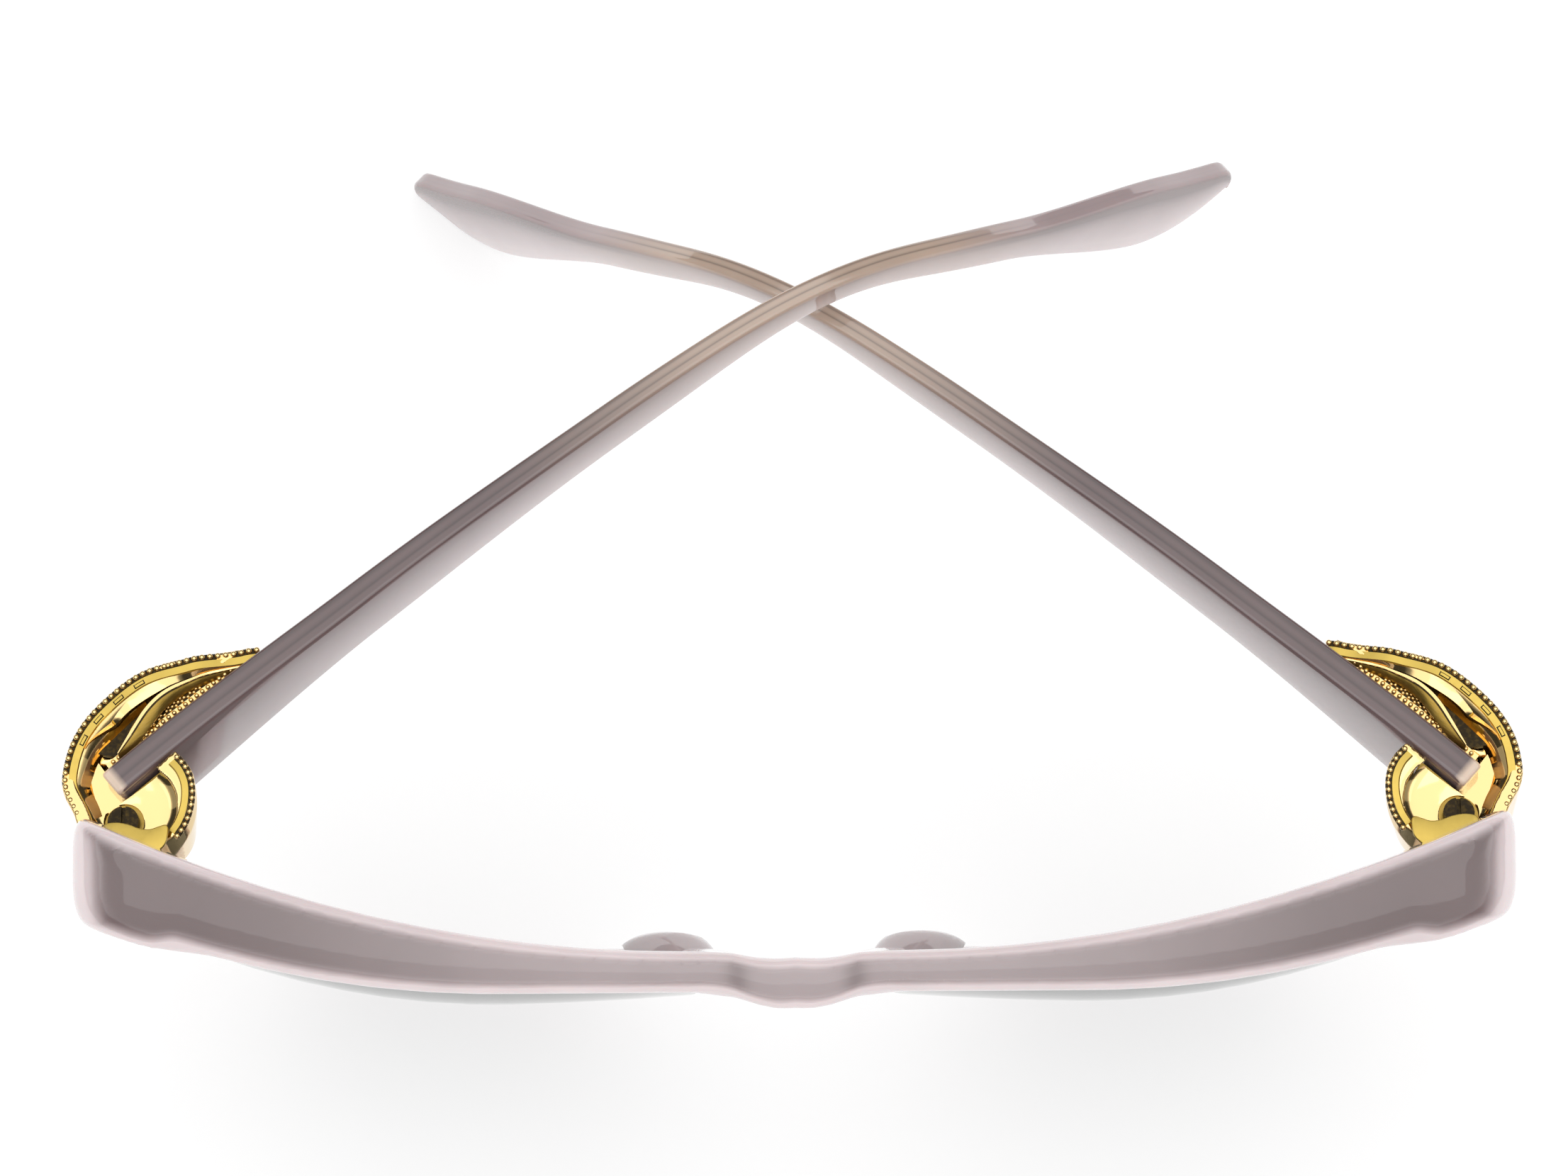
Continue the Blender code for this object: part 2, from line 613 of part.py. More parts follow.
def make_temple_hinge(name, side, parent):
    """Two barrels on arms from a spine that lies against the temple's inner face."""
    inner = -(half_thickness(0.0) + GAP)
    spine = temple_shell(side, SPINE_START, SPINE_END, inner - SPINE_THICKNESS, inner, -SPINE_MARGIN)
    hinge = add_object(name, spine, "hinge_metal", parent)
    lowest = BARREL_HALF + GAP
    for level in (1.0, -1.0):
        label = "upper" if level > 0.0 else "lower"
        low, high = sorted((level * lowest, level * BARREL_OUTER))
        barrel = add_cutter(f"{name}_{label}_barrel", rod(BARREL_RADIUS, low, high), parent)
        ends = sorted((-side * -0.7 * MM, -side * 1.6 * MM))
        near = (0.0, ends[0], low + 0.1 * MM)
        far = (TEMPLE_START + SPINE_START + 0.8 * MM, ends[1], high - 0.1 * MM)
        arm = add_cutter(f"{name}_{label}_arm", box(near, far), parent)
        combine(hinge, arm, "UNION")
        combine(hinge, barrel, "UNION")
    bore = rod(SCREW_RADIUS + SCREW_CLEARANCE, -10.0 * MM, 10.0 * MM)
    combine(hinge, add_cutter(f"{name}_bore", bore, parent), "DIFFERENCE")
    return hinge


def make_front_hinge(name, parent, front):
    """The middle barrel and the arm that is sunk into the front's end piece."""
    hinge = add_object(name, rod(BARREL_RADIUS, -BARREL_HALF, BARREL_HALF), "hinge_metal", parent)
    wide = ANCHOR_WIDTH / 2.0
    tall = BARREL_HALF - 0.1 * MM
    arm = add_cutter(f"{name}_arm", box((0.0, -wide, -tall), (ANCHOR_REACH, wide, tall)), parent)
    combine(hinge, arm, "UNION")
    bore = rod(SCREW_RADIUS + SCREW_CLEARANCE, -10.0 * MM, 10.0 * MM)
    combine(hinge, add_cutter(f"{name}_bore", bore, parent), "DIFFERENCE")
    room = box((0.0, -wide - GAP, -tall - GAP), (ANCHOR_REACH + GAP, wide + GAP, tall + GAP))
    combine(front, add_cutter(f"{name}_mortise", room, parent), "DIFFERENCE")
    foot = (0.3 * SEAT_RADIUS, SEAT_BOTTOM - SEAT_RUNOUT)
    profile = [foot, (SEAT_RADIUS, SEAT_BOTTOM), (SEAT_RADIUS, SEAT_TOP)]
    combine(front, add_cutter(f"{name}_seat", turned(profile, 48), parent), "DIFFERENCE")
    return hinge


def make_hinge_screw(name, parent):
    """The screw on the hinge axis, with a slotted head on top."""
    low = BARREL_OUTER + 0.4 * GAP
    screw = add_object(name, rod(SCREW_RADIUS, 0.2 * MM - BARREL_OUTER, low + 0.2 * MM), "steel", parent)
    head = rod(SCREW_HEAD_RADIUS, low, low + SCREW_HEAD_HEIGHT)
    combine(screw, add_cutter(f"{name}_head", head, parent), "UNION")
    slot = box((-3.0 * MM, -0.2 * MM, low + 0.5 * SCREW_HEAD_HEIGHT), (3.0 * MM, 0.2 * MM, low + 3.0 * MM))
    combine(screw, add_cutter(f"{name}_slot", slot, parent), "DIFFERENCE")
    return screw


def axis_matrix(side, tilt, heading_x, heading_y):
    """Frame on a hinge axis whose x axis lies along a heading."""
    up = Vector((-math.sin(tilt), -math.sin(AXIS_LEAN), 0.0))
    up.z = math.sqrt(1.0 - up.length_squared)
    along = Vector((heading_x, heading_y, 0.0))
    along = (along - up * along.dot(up)).normalized()
    turn = Matrix((along, up.cross(along), up)).transposed().to_4x4()
    return Matrix.Translation((side * PIVOT_X, PIVOT_Y, PIVOT_Z)) @ turn


def cut_feet(root, front, lower_temple):
    """Small flats where the rims and the lower temple's tip stand on the table."""
    slab = box((-0.2, -0.2, -0.05), (0.2, 0.4, FOOT_DEPTH))
    cutter = add_cutter("table_plane", slab, root)
    combine(front, cutter, "DIFFERENCE")
    combine(lower_temple, cutter, "DIFFERENCE")


def centre_model(root):
    """Shift the root so that the origin is at the middle of the model's foot."""
    graph = bpy.context.evaluated_depsgraph_get()
    bpy.context.view_layer.update()
    low = Vector((1.0, 1.0, 1.0))
    high = -low
    for item in PART.objects:
        if item.type != "MESH":
            continue
        shape = item.evaluated_get(graph)
        mesh = shape.to_mesh()
        for vert in mesh.vertices:
            place = item.matrix_world @ vert.co
            low = Vector(map(min, low, place))
            high = Vector(map(max, high, place))
        shape.to_mesh_clear()
    middle = (low + high) / 2.0
    root.location = (-middle.x, -middle.y, -low.z)


def build():
    root = add_empty("sunglasses", None, Matrix.Identity(4))
    stance = add_empty("stance", root, Matrix.Rotation(-STANCE, 4, "X"))
    plane = Matrix.Translation((0.0, FRONT_FOOT_Y, 0.0)) @ Matrix.Rotation(FRONT_LEAN, 4, "X")
    front_plane = add_empty("front_plane", stance, plane)
    front = make_front(front_plane)
    temples = {}
    for word, side, tilt, fold in (("right", -1, RIGHT_TILT, RIGHT_FOLD), ("left", 1, LEFT_TILT, LEFT_FOLD)):
        make_lens(f"lens_{word}", side, front_plane)
        make_pad(f"nose_pad_{word}", side, front_plane)
        fixed = add_empty(f"hinge_axis_{word}", stance, axis_matrix(side, tilt, 0.0, -1.0))
        make_front_hinge(f"front_hinge_{word}", fixed, front)
        make_hinge_screw(f"hinge_screw_{word}", fixed)
        frame = axis_matrix(side, tilt, -side * math.cos(fold), math.sin(fold))
        turning = add_empty(f"temple_axis_{word}", stance, frame)
        temple = make_temple(f"temple_{word}", side, turning)
        cuff = make_cuff(word, side, turning)
        plate = make_backplate(f"cuff_plate_{word}", side, turning)
        make_temple_hinge(f"temple_hinge_{word}", side, turning)
        for number, station in enumerate(PIN_PLACES, 1):
            make_pin(f"cuff_pin_{word}_{number}", station, side, turning, (temple, cuff, plate))
        temples[word] = temple
    cut_feet(root, front, temples["left"])
    centre_model(root)


clear_scene()
PART = collection("sunglasses")
CUTTERS = collection("sunglasses_cutters")
build()
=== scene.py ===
import json
import math

import bmesh
import bpy
from mathutils import Matrix, Vector


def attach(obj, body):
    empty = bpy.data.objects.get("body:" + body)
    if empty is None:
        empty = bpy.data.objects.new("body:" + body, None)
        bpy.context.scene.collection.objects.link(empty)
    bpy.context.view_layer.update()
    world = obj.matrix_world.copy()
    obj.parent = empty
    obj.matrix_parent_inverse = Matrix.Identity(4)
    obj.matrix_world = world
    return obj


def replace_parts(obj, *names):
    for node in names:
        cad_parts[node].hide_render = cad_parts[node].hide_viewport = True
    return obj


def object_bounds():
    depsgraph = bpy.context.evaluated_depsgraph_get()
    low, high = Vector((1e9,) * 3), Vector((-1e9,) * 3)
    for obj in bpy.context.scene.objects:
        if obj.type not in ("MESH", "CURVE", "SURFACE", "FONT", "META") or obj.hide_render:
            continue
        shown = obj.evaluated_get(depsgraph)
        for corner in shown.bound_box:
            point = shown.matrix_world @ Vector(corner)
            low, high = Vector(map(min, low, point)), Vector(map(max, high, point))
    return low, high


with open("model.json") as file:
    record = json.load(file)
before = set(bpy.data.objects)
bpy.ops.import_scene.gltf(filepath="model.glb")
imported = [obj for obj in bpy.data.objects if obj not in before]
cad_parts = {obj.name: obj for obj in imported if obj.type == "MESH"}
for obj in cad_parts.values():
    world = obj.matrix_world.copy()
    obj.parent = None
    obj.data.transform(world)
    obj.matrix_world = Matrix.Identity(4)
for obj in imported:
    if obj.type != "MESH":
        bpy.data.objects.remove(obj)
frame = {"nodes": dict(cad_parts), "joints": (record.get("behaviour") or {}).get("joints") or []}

bl_info = {
    "name": "Sunglasses with gold cuffs",
    "version": (1, 0, 0),
    "blender": (4, 5, 0),
    "location": "3D View > Sidebar > Sunglasses",
    "description": "Dresses the packed sunglasses: acetate, tinted lenses and beaded gold cuffs",
    "category": "Object",
}

# Lengths are in millimetres and angles in degrees, unless a line turns them into metres or radians
MM = 0.001
CAD_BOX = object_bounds()
SIDES = {"right": -1, "left": 1}

# How far each temple is folded in, how far the front leans as it stands, and its faces' tilt to the hinges
FOLD = {"right": math.radians(35.8), "left": math.radians(38.4)}
STANCE = math.radians(3.05)
FACE_TILT = math.radians(21.0)

# Grain and smoothing rounds of the fine copies of the front and the cuffs
FRONT_GRAIN = (0.32, 14)
CUFF_GRAIN = (0.17, 8)

# How far the bridge swells forwards, and how far from its middle that reaches
BRIDGE_SWELL = 0.28
BRIDGE_REACH = 6.0

# How much wider and deeper the nose pads are than their solids, and how far the lenses fill the grooves
PAD_WIDER = 1.3
PAD_DEEPER = 2.2
LENS_WIDER = 1.022
LENS_TALLER = 1.026

# Outline, heights and bevel of the rubbed tab that reaches from the end piece over the hinge
TAB_OUTLINE = [
    (-2.3, -0.1), (-1.7, 0.25), (-0.7, -0.25), (0.15, -1.15), (0.75, -2.1), (1.5, -2.8), (2.4, -3.1),
    (3.1, -3.5), (2.2, -4.7), (1.2, -5.1), (-1.0, -5.0), (-3.0, -3.6),
]
TAB_HEIGHTS = (6.25, 6.75)
TAB_BEVEL = 0.15

# The temple's centre line, as the CAD sets it out from the hinge
TEMPLE_START = 1.55
TEMPLE_OFFSET = 3.7
TEMPLE_LENGTH = 149.5
TEMPLE_RISE = 5.6
TEMPLE_BOW = 7.6
TEMPLE_CURL = 6.6
BEND_START = 81.0
DROP_ANGLES = [(0.0, 0.0), (71.0, 0.0), (99.5, 45.2), (134.5, 49.2), (149.5, 44.5)]
# Its height and thickness along the line, the length of its rounded tip and the radius of its edges
TEMPLE_HEIGHTS = [(0.0, 11.7), (30.0, 8.2), (60.0, 6.2), (88.0, 3.5), (112.0, 4.6), (137.0, 9.0)]
TEMPLE_THICKNESSES = [(0.0, 2.9), (81.0, 2.1), (149.5, 2.0)]
TIP_ROUND = 13.0
TEMPLE_EDGE = 0.45
# What comes off its top and its bottom where one temple passes over the other as they fold
TOP_ROOMS = [(20.0, 0.0), (35.0, 0.15), (60.0, 0.15), (75.0, 0.0)]
BOTTOM_ROOMS = [(75.0, 0.0), (88.0, 0.15), (112.0, 0.15), (122.0, 0.0)]

# The cuff's edges in the hinge's frame: along the temple, outwards
OUTER_ARC = [
    (20.2, 6.9), (18.6, 7.6), (17.0, 8.35), (14.3, 9.55), (10.8, 10.75), (7.2, 11.15), (3.6, 10.85),
    (0.6, 9.85), (-1.6, 8.15), (-2.9, 6.35), (-3.4, 3.6),
]
BAND_ARC = OUTER_ARC + [(-3.85, 1.8), (-4.15, 0.2)]
LEAF_ARC = [(8.0, 1.7), (8.1, 0.4), (7.8, -1.1), (7.1, -2.4), (6.0, -3.6), (4.7, -4.5), (3.4, -5.0)]
CUFF_HALF_HEIGHTS = [(-6.0, 4.6), (-1.0, 5.1), (4.0, 5.6), (9.0, 6.0), (14.0, 5.1), (19.0, 3.6), (22.0, 2.6)]

# The petal beside the temple: its ridge and the inner edge of its brushed band
PETAL_RIDGE = [
    (18.35, 6.04), (15.48, 7.24), (13.5, 7.85), (11.4, 8.27), (9.63, 8.25), (7.84, 7.93), (6.17, 7.3),
    (4.82, 6.69), (3.39, 5.98),
]
PETAL_INNER = [
    (17.0, 6.15), (14.3, 6.75), (12.16, 7.13), (10.0, 7.0), (8.4, 6.6), (7.0, 6.15), (5.6, 5.75),
    (4.4, 5.6), (3.3, 5.6),
]
# Across it, as shares of the way from ridge to inner edge: crown and seam with heights, band with falls
PETAL_CROWN = ((0.0, -0.3), (0.0, -0.02), (0.05, 0.05), (0.28, 0.05), (0.33, -0.02), (0.33, -0.3))
PETAL_SEAM = ((0.33, -0.4), (0.33, -0.02), (0.39, -0.06), (0.39, -0.4))
PETAL_BAND = (
    (0.0, 0.12), (0.05, 0.02), (0.15, 0.0), (0.27, 0.02), (0.31, 0.1), (0.45, 0.2), (0.7, 0.55),
    (0.92, 0.95), (1.0, 1.15),
)

# Sections that run along a cuff's edge: inwards, upwards
BEAD_BED = [(0.02, 0.0), (0.1, 0.13), (0.7, 0.13), (0.7, -0.5), (0.02, -0.5)]
RIM_BAND = [(0.64, 0.0), (0.72, 0.2), (1.42, 0.15), (1.5, 0.0), (1.5, -0.6), (0.64, -0.6)]
WELL_WALL = [(1.46, -0.02), (1.75, -0.2), (2.2, -0.6), (2.6, -1.05), (3.0, -1.6), (3.0, -2.4), (1.46, -2.4)]
LEAF_BED = [(-0.05, -0.1), (-0.1, 0.02), (-0.66, 0.02), (-0.66, -0.5)]
LEAF_BAND = [(-0.64, -0.05), (-0.7, 0.03), (-1.3, 0.03), (-1.42, -0.1), (-1.42, -0.6), (-0.64, -0.6)]

# Floor of the well at the front end, and the middles of the plain frames engraved on the band
WELL_FLOOR = [(-2.1, 0.4), (-1.3, 2.6), (-0.6, 4.8), (0.35, 7.1), (1.45, 7.7), (1.45, 2.0), (1.0, 0.4)]
ENGRAVED = (8.2, 5.6, 2.9, 0.4)

# Rings of the dish round the hinge: middle along and outwards, radius, height; and where its side is cut
DISH = (
    (1.6, 0.2, 4.15, 3.6), (1.6, 0.2, 4.15, 5.25), (1.55, 0.2, 3.8, 4.9), (1.3, 0.15, 3.3, 4.72),
    (0.8, 0.1, 2.7, 4.62), (0.2, 0.0, 2.15, 4.6), (0.0, 0.0, 1.95, 4.5), (0.0, 0.0, 1.95, 3.6),
)
DISH_SIDES = 64
DISH_CUT = 1.85

# The camera: its aim from the middle of the hinges, its place from there, its turns and its lens
CAMERA_AIM = (-0.526, 35.711, -25.236)
CAMERA_PLACE = (-1.576, -199.534, 500.165)
CAMERA_ROLL = -0.4
CAMERA_TILT = 21.75
FOCAL_LENGTH = 119.06
SENSOR_WIDTH = 36.0

# What polished surfaces see: the height of a reflected ray, and the light from there
REFLECTED = [(0.0, 0.06), (0.50, 0.05), (0.60, 0.3), (0.66, 1.5), (1.0, 1.6)]


# Small tools

def linear(code):
    """Linear colour of an sRGB hex code."""
    parts = [int(code[i:i + 2], 16) / 255.0 for i in (0, 2, 4)]
    return tuple(c / 12.92 if c <= 0.04045 else ((c + 0.055) / 1.055) ** 2.4 for c in parts) + (1.0,)


def ease(knots, place):
    """Value at a place between knots, eased so that it leaves and reaches each knot level."""
    if place <= knots[0][0]:
        return knots[0][1]
    for (a, low), (b, high) in zip(knots, knots[1:]):
        if place <= b:
            t = (place - a) / (b - a)
            return low + (high - low) * t * t * (3.0 - 2.0 * t)
    return knots[-1][1]


def blend(a, b, share):
    """Colour between two colours."""
    return tuple(p + (q - p) * share for p, q in zip(a, b))


def smooth_curve(points, step):
    """Points a step apart on a smooth curve through a few points."""
    fine = []
    padded = [points[0], *points, points[-1]]
    for i in range(1, len(padded) - 2):
        p0, p1, p2, p3 = (Vector(p) for p in padded[i - 1:i + 3])
        for k in range(24):
            t = k / 24.0
            fine.append(0.5 * ((2 * p1) + (p2 - p0) * t + (2 * p0 - 5 * p1 + 4 * p2 - p3) * t * t
                               + (3 * p1 - p0 - 3 * p2 + p3) * t ** 3))
    fine.append(Vector(points[-1]))
    total = sum((b - a).length for a, b in zip(fine, fine[1:]))
    count = max(2, round(total / step))
    placed = [fine[0]]
    walked = 0.0
    for a, b in zip(fine, fine[1:]):
        length = (b - a).length
        while length > 0.0 and walked + length >= total * len(placed) / count - 1e-9 and len(placed) < count:
            placed.append(a.lerp(b, (total * len(placed) / count - walked) / length))
        walked += length
    placed.append(fine[-1])
    return placed


def resampled(points, count):
    """The same curve through a number of evenly spaced points."""
    lengths = [0.0]
    for a, b in zip(points, points[1:]):
        lengths.append(lengths[-1] + (b - a).length)
    placed = []
    j = 0
    for k in range(count):
        goal = lengths[-1] * k / (count - 1.0)
        while j < len(points) - 2 and lengths[j + 1] < goal:
            j += 1
        span = lengths[j + 1] - lengths[j]
        placed.append(points[j].lerp(points[j + 1], (goal - lengths[j]) / span if span > 0.0 else 0.0))
    return placed


def offset_curve(points, distance):
    """Points moved sideways off a curve in plan, to the left of its direction."""
    moved = []
    for i, p in enumerate(points):
        ahead = points[min(i + 1, len(points) - 1)] - points[max(i - 1, 0)]
        moved.append(p + Vector((-ahead.y, ahead.x)).normalized() * distance)
    return moved


# The cuff's outer edge in plan, in fine steps
RIM_CURVE = smooth_curve(OUTER_ARC, 0.1)


class HingeFrame:
    """Places beside one hinge in millimetres: x along the temple, n outwards, w up the axis."""

    def __init__(self, word):
        joint = next(j for j in frame["joints"] if j["name"] == f"{word}_hinge")
        fold, side = FOLD[word], SIDES[word]
        self.pivot = Vector(joint["pos_m"])
        self.up = Vector(joint["axis"]).normalized()
        along = Vector((-side * math.cos(fold), math.sin(fold) * math.cos(STANCE),
                        -math.sin(fold) * math.sin(STANCE)))
        self.along = (along - self.up * along.dot(self.up)).normalized()
        self.out = -side * self.up.cross(self.along)

    def at(self, x, n, w):
        """The same place in the frame's metres."""
        return self.pivot + (self.along * x + self.out * n + self.up * w) * MM


def heading(station):
    """Directions along, outwards and upwards at a station of the temple's centre line."""
    share = min(1.0, max(0.0, station / BEND_START))
    curl = ease([(BEND_START - 5.0, 0.0), (TEMPLE_LENGTH, TEMPLE_CURL)], station)
    turn = math.radians(TEMPLE_BOW * (0.5 - share) + curl)
    rise = math.radians(TEMPLE_RISE - ease(DROP_ANGLES, station))
    along = Vector((math.cos(rise) * math.cos(turn), math.cos(rise) * math.sin(turn), math.sin(rise)))
    up = Vector((-math.sin(rise) * math.cos(turn), -math.sin(rise) * math.sin(turn), math.cos(rise)))
    return along, Vector((-math.sin(turn), math.cos(turn), 0.0)), up


def temple_line(stations):
    """Place and directions out and up at rising stations of the centre line."""
    frames = []
    place = Vector((TEMPLE_START, TEMPLE_OFFSET, 0.0))
    walked = 0.0
    for station in stations:
        while walked < station - 1e-9:
            stride = min(0.5, station - walked)
            place = place + heading(walked + stride / 2.0)[0] * stride
            walked += stride
        frames.append((place.copy(), *heading(station)[1:]))
    return frames


def temple_heights(station):
    """Top and bottom of the temple about its centre line."""
    half = ease(TEMPLE_HEIGHTS, station) / 2.0
    left = TEMPLE_LENGTH - station
    if left >= TIP_ROUND:
        return half - ease(TOP_ROOMS, station), ease(BOTTOM_ROOMS, station) - half
    share = math.sqrt(max(0.0, 1.0 - (1.0 - left / TIP_ROUND) ** 2))
    nose = min(1.0, left / (0.22 * TIP_ROUND))
    top = half * (0.5 + 0.5 * math.sqrt(max(0.0, 1.0 - (1.0 - nose) ** 2)))
    return top, top - (top + half) * max(0.12, share)


def temple_outer_face(x):
    """How far out the temple's outer face lies beside the cuff."""
    station = max(0.0, x - TEMPLE_START)
    place = temple_line([station])[0][0]
    return place.y + ease(TEMPLE_THICKNESSES, station) / 2.0


def cuff_edge(x, level):
    """Height of the cuff's upper (1) or lower (-1) edge."""
    return x * math.tan(math.radians(TEMPLE_RISE)) + level * ease(CUFF_HALF_HEIGHTS, x)


# Meshes

def finished(name, bm, body, finish, smooth=50.0):
    """Turn a bmesh into a piece that rides on a body."""
    mesh = bpy.data.meshes.new(name)
    bm.to_mesh(mesh)
    bm.free()
    piece = bpy.data.objects.new(name, mesh)
    bpy.context.scene.collection.objects.link(piece)
    mesh.materials.append(finish)
    mesh.shade_smooth()
    if smooth < 180.0:
        mesh.set_sharp_from_angle(angle=math.radians(smooth))
    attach(piece, body)
    return piece


def tint_layer(bm):
    """The layer of colours on a shape's points, which the acetate shows."""
    return bm.verts.layers.float_color.get("tint") or bm.verts.layers.float_color.new("tint")


def sweep(bm, rings, caps=True, tints=None):
    """Draw the first ring of points and extrude its edges to each next ring."""
    layer = tint_layer(bm) if tints else None
    verts = [bm.verts.new(point) for point in rings[0]]
    pairs = [(i, (i + 1) % len(verts)) for i in range(len(verts))]
    edges = [bm.edges.new((verts[i], verts[j])) for i, j in pairs]
    if caps:
        bm.faces.new(verts)
    for k, ring in enumerate(rings):
        if k > 0:
            grown = bmesh.ops.extrude_edge_only(bm, edges=edges)["geom"]
            fresh = {item for item in grown if isinstance(item, bmesh.types.BMVert)}
            verts = [next(e.other_vert(v) for e in v.link_edges if e.other_vert(v) in fresh) for v in verts]
            edges = [bm.edges.get((verts[i], verts[j])) for i, j in pairs]
            for vert, point in zip(verts, ring):
                vert.co = point
        if tints:
            for vert, tint in zip(verts, tints[k]):
                vert[layer] = tint
    if caps:
        bm.faces.new(verts)


def merged_copy(node):
    """A copy of a CAD node's shape with its triangles joined."""
    bm = bmesh.new()
    bm.from_mesh(frame["nodes"][node].data)
    bmesh.ops.remove_doubles(bm, verts=bm.verts, dist=0.000002)
    return bm


def refined_copy(node, name, grain, rooms=()):
    """A fine, polished copy of a CAD node's shape, with rooms carved out of it."""
    bm = merged_copy(node)
    mesh = bpy.data.meshes.new(f"{name}_rough")
    bm.to_mesh(mesh)
    bm.free()
    holder = bpy.data.objects.new(f"{name}_rough", mesh)
    bpy.context.scene.collection.objects.link(holder)
    cutters = []
    for room in rooms:
        bmesh.ops.recalc_face_normals(room, faces=room.faces)
        shape = bpy.data.meshes.new("room")
        room.to_mesh(shape)
        room.free()
        cutter = bpy.data.objects.new("room", shape)
        bpy.context.scene.collection.objects.link(cutter)
        carve = holder.modifiers.new("carve", "BOOLEAN")
        carve.operation = "DIFFERENCE"
        carve.solver = "EXACT"
        carve.object = cutter
        cutters.append(cutter)
    skin = holder.modifiers.new("fine skin", "REMESH")
    skin.mode = "VOXEL"
    skin.voxel_size = grain[0] * MM
    polish = holder.modifiers.new("polish", "SMOOTH")
    polish.factor = 0.5
    polish.iterations = grain[1]
    bpy.context.view_layer.update()
    fine = bpy.data.meshes.new_from_object(holder.evaluated_get(bpy.context.evaluated_depsgraph_get()))
    for spent in (holder, *cutters):
        bpy.data.objects.remove(spent, do_unlink=True)
    bm = bmesh.new()
    bm.from_mesh(fine)
    bpy.data.meshes.remove(fine)
    return bm


def add_bead(bm, place, radius):
    """One small round bead."""
    bmesh.ops.create_uvsphere(bm, u_segments=10, v_segments=8, radius=radius * MM,
                              matrix=Matrix.Translation(place))


# Materials

def set_inputs(tree, node, inputs):
    """Give a node values or links for its inputs."""
    for key, value in inputs.items():
        if isinstance(value, bpy.types.NodeSocket):
            tree.links.new(value, node.inputs[key])
        else:
            node.inputs[key].default_value = value


def add_node(tree, kind, inputs=None, **settings):
    """Add a node with its settings, and values or links for its inputs."""
    made = tree.nodes.new(kind)
    for key, value in settings.items():
        setattr(made, key, value)
    set_inputs(tree, made, inputs or {})
    return made


def new_material(name):
    """A material, its tree and its shader."""
    found = bpy.data.materials.new(name)
    found.use_nodes = True
    return found, found.node_tree, found.node_tree.nodes["Principled BSDF"]


def finish(describe):
    """Make a finish at its first use, from what its function gives the shader, and find it again later."""
    def found():
        name = describe.__name__
        if name not in bpy.data.materials:
            tree, shader = new_material(name)[1:]
            place = add_node(tree, "ShaderNodeTexCoord").outputs["Object"]
            set_inputs(tree, shader, describe(bpy.context.scene.sunglasses, tree, place))
        return bpy.data.materials[name]
    return found


@finish
def polished_acetate(look, tree, place):
    """Cellulose acetate sheet, cut and tumble-polished: milky, glossy, with faint clouds in its depth."""
    tint = add_node(tree, "ShaderNodeAttribute", attribute_name="tint")
    # Clouds about 9 mm across in the sheet
    clouds = add_node(tree, "ShaderNodeTexNoise", {
        "Vector": place, "Scale": 110.0, "Detail": 3.0, "Roughness": 0.5})
    tone = add_node(tree, "ShaderNodeMapRange", {
        "Value": clouds.outputs["Fac"], "From Min": 0.3, "From Max": 0.7, "To Min": 0.95,
        "To Max": 1.05})
    shade = add_node(tree, "ShaderNodeVectorMath", {
        0: tint.outputs["Color"], 1: tone.outputs["Result"]}, operation="MULTIPLY")
    # Polishing haze and the odd wipe mark, 1 mm wide
    haze = add_node(tree, "ShaderNodeTexNoise", {"Vector": place, "Scale": 900.0, "Detail": 2.0})
    gloss = add_node(tree, "ShaderNodeMapRange", {
        "Value": haze.outputs["Fac"], "To Min": look.acetate_roughness * 0.7,
        "To Max": look.acetate_roughness * 1.4})
    ripple = add_node(tree, "ShaderNodeBump", {
        "Height": clouds.outputs["Fac"], "Strength": 0.04, "Distance": 0.0004})
    return {"Base Color": shade.outputs["Vector"], "Roughness": gloss.outputs["Result"],
            "Normal": ripple.outputs["Normal"], "IOR": 1.48, "Coat Weight": 0.6, "Coat Roughness": 0.02,
            "Subsurface Weight": 0.12, "Subsurface Scale": 0.002}


@finish
def polished_gold(look, tree, place):
    """Gold plate on cast brass, mirror polished: deep yellow with wiped spots that blur it a little."""
    # Wiped spots 1.5 mm across
    wipes = add_node(tree, "ShaderNodeTexNoise", {"Vector": place, "Scale": 600.0, "Detail": 3.0})
    gloss = add_node(tree, "ShaderNodeMapRange", {
        "Value": wipes.outputs["Fac"], "From Min": 0.35, "From Max": 0.75,
        "To Min": look.gold_roughness, "To Max": look.gold_roughness * 2.4})
    waves = add_node(tree, "ShaderNodeBump", {
        "Height": wipes.outputs["Fac"], "Strength": 0.05, "Distance": 0.0002})
    return {"Base Color": look.gold_color, "Metallic": 1.0, "Roughness": gloss.outputs["Result"],
            "Normal": waves.outputs["Normal"]}


@finish
def satin_gold(look, tree, place):
    """Gold plate on brushed brass: fine lines 0.1 mm apart, which turn reflections into a soft sheen."""
    fine = add_node(tree, "ShaderNodeMapping", {"Vector": place, "Scale": (1.0, 1.0, 7.0)})
    lines = add_node(tree, "ShaderNodeTexNoise", {
        "Vector": fine.outputs["Vector"], "Scale": 1400.0, "Detail": 4.0})
    shade = add_node(tree, "ShaderNodeMix", {
        "Factor": lines.outputs["Fac"], "A": look.satin_color,
        "B": blend(look.satin_color, look.gold_color, 0.22)}, data_type="RGBA")
    gloss = add_node(tree, "ShaderNodeMapRange", {
        "Value": lines.outputs["Fac"], "To Min": 0.26, "To Max": 0.42})
    bump = add_node(tree, "ShaderNodeBump", {
        "Height": lines.outputs["Fac"], "Strength": 0.25, "Distance": 0.00005})
    return {"Base Color": shade.outputs["Result"], "Metallic": 1.0, "Roughness": gloss.outputs["Result"],
            "Normal": bump.outputs["Normal"]}


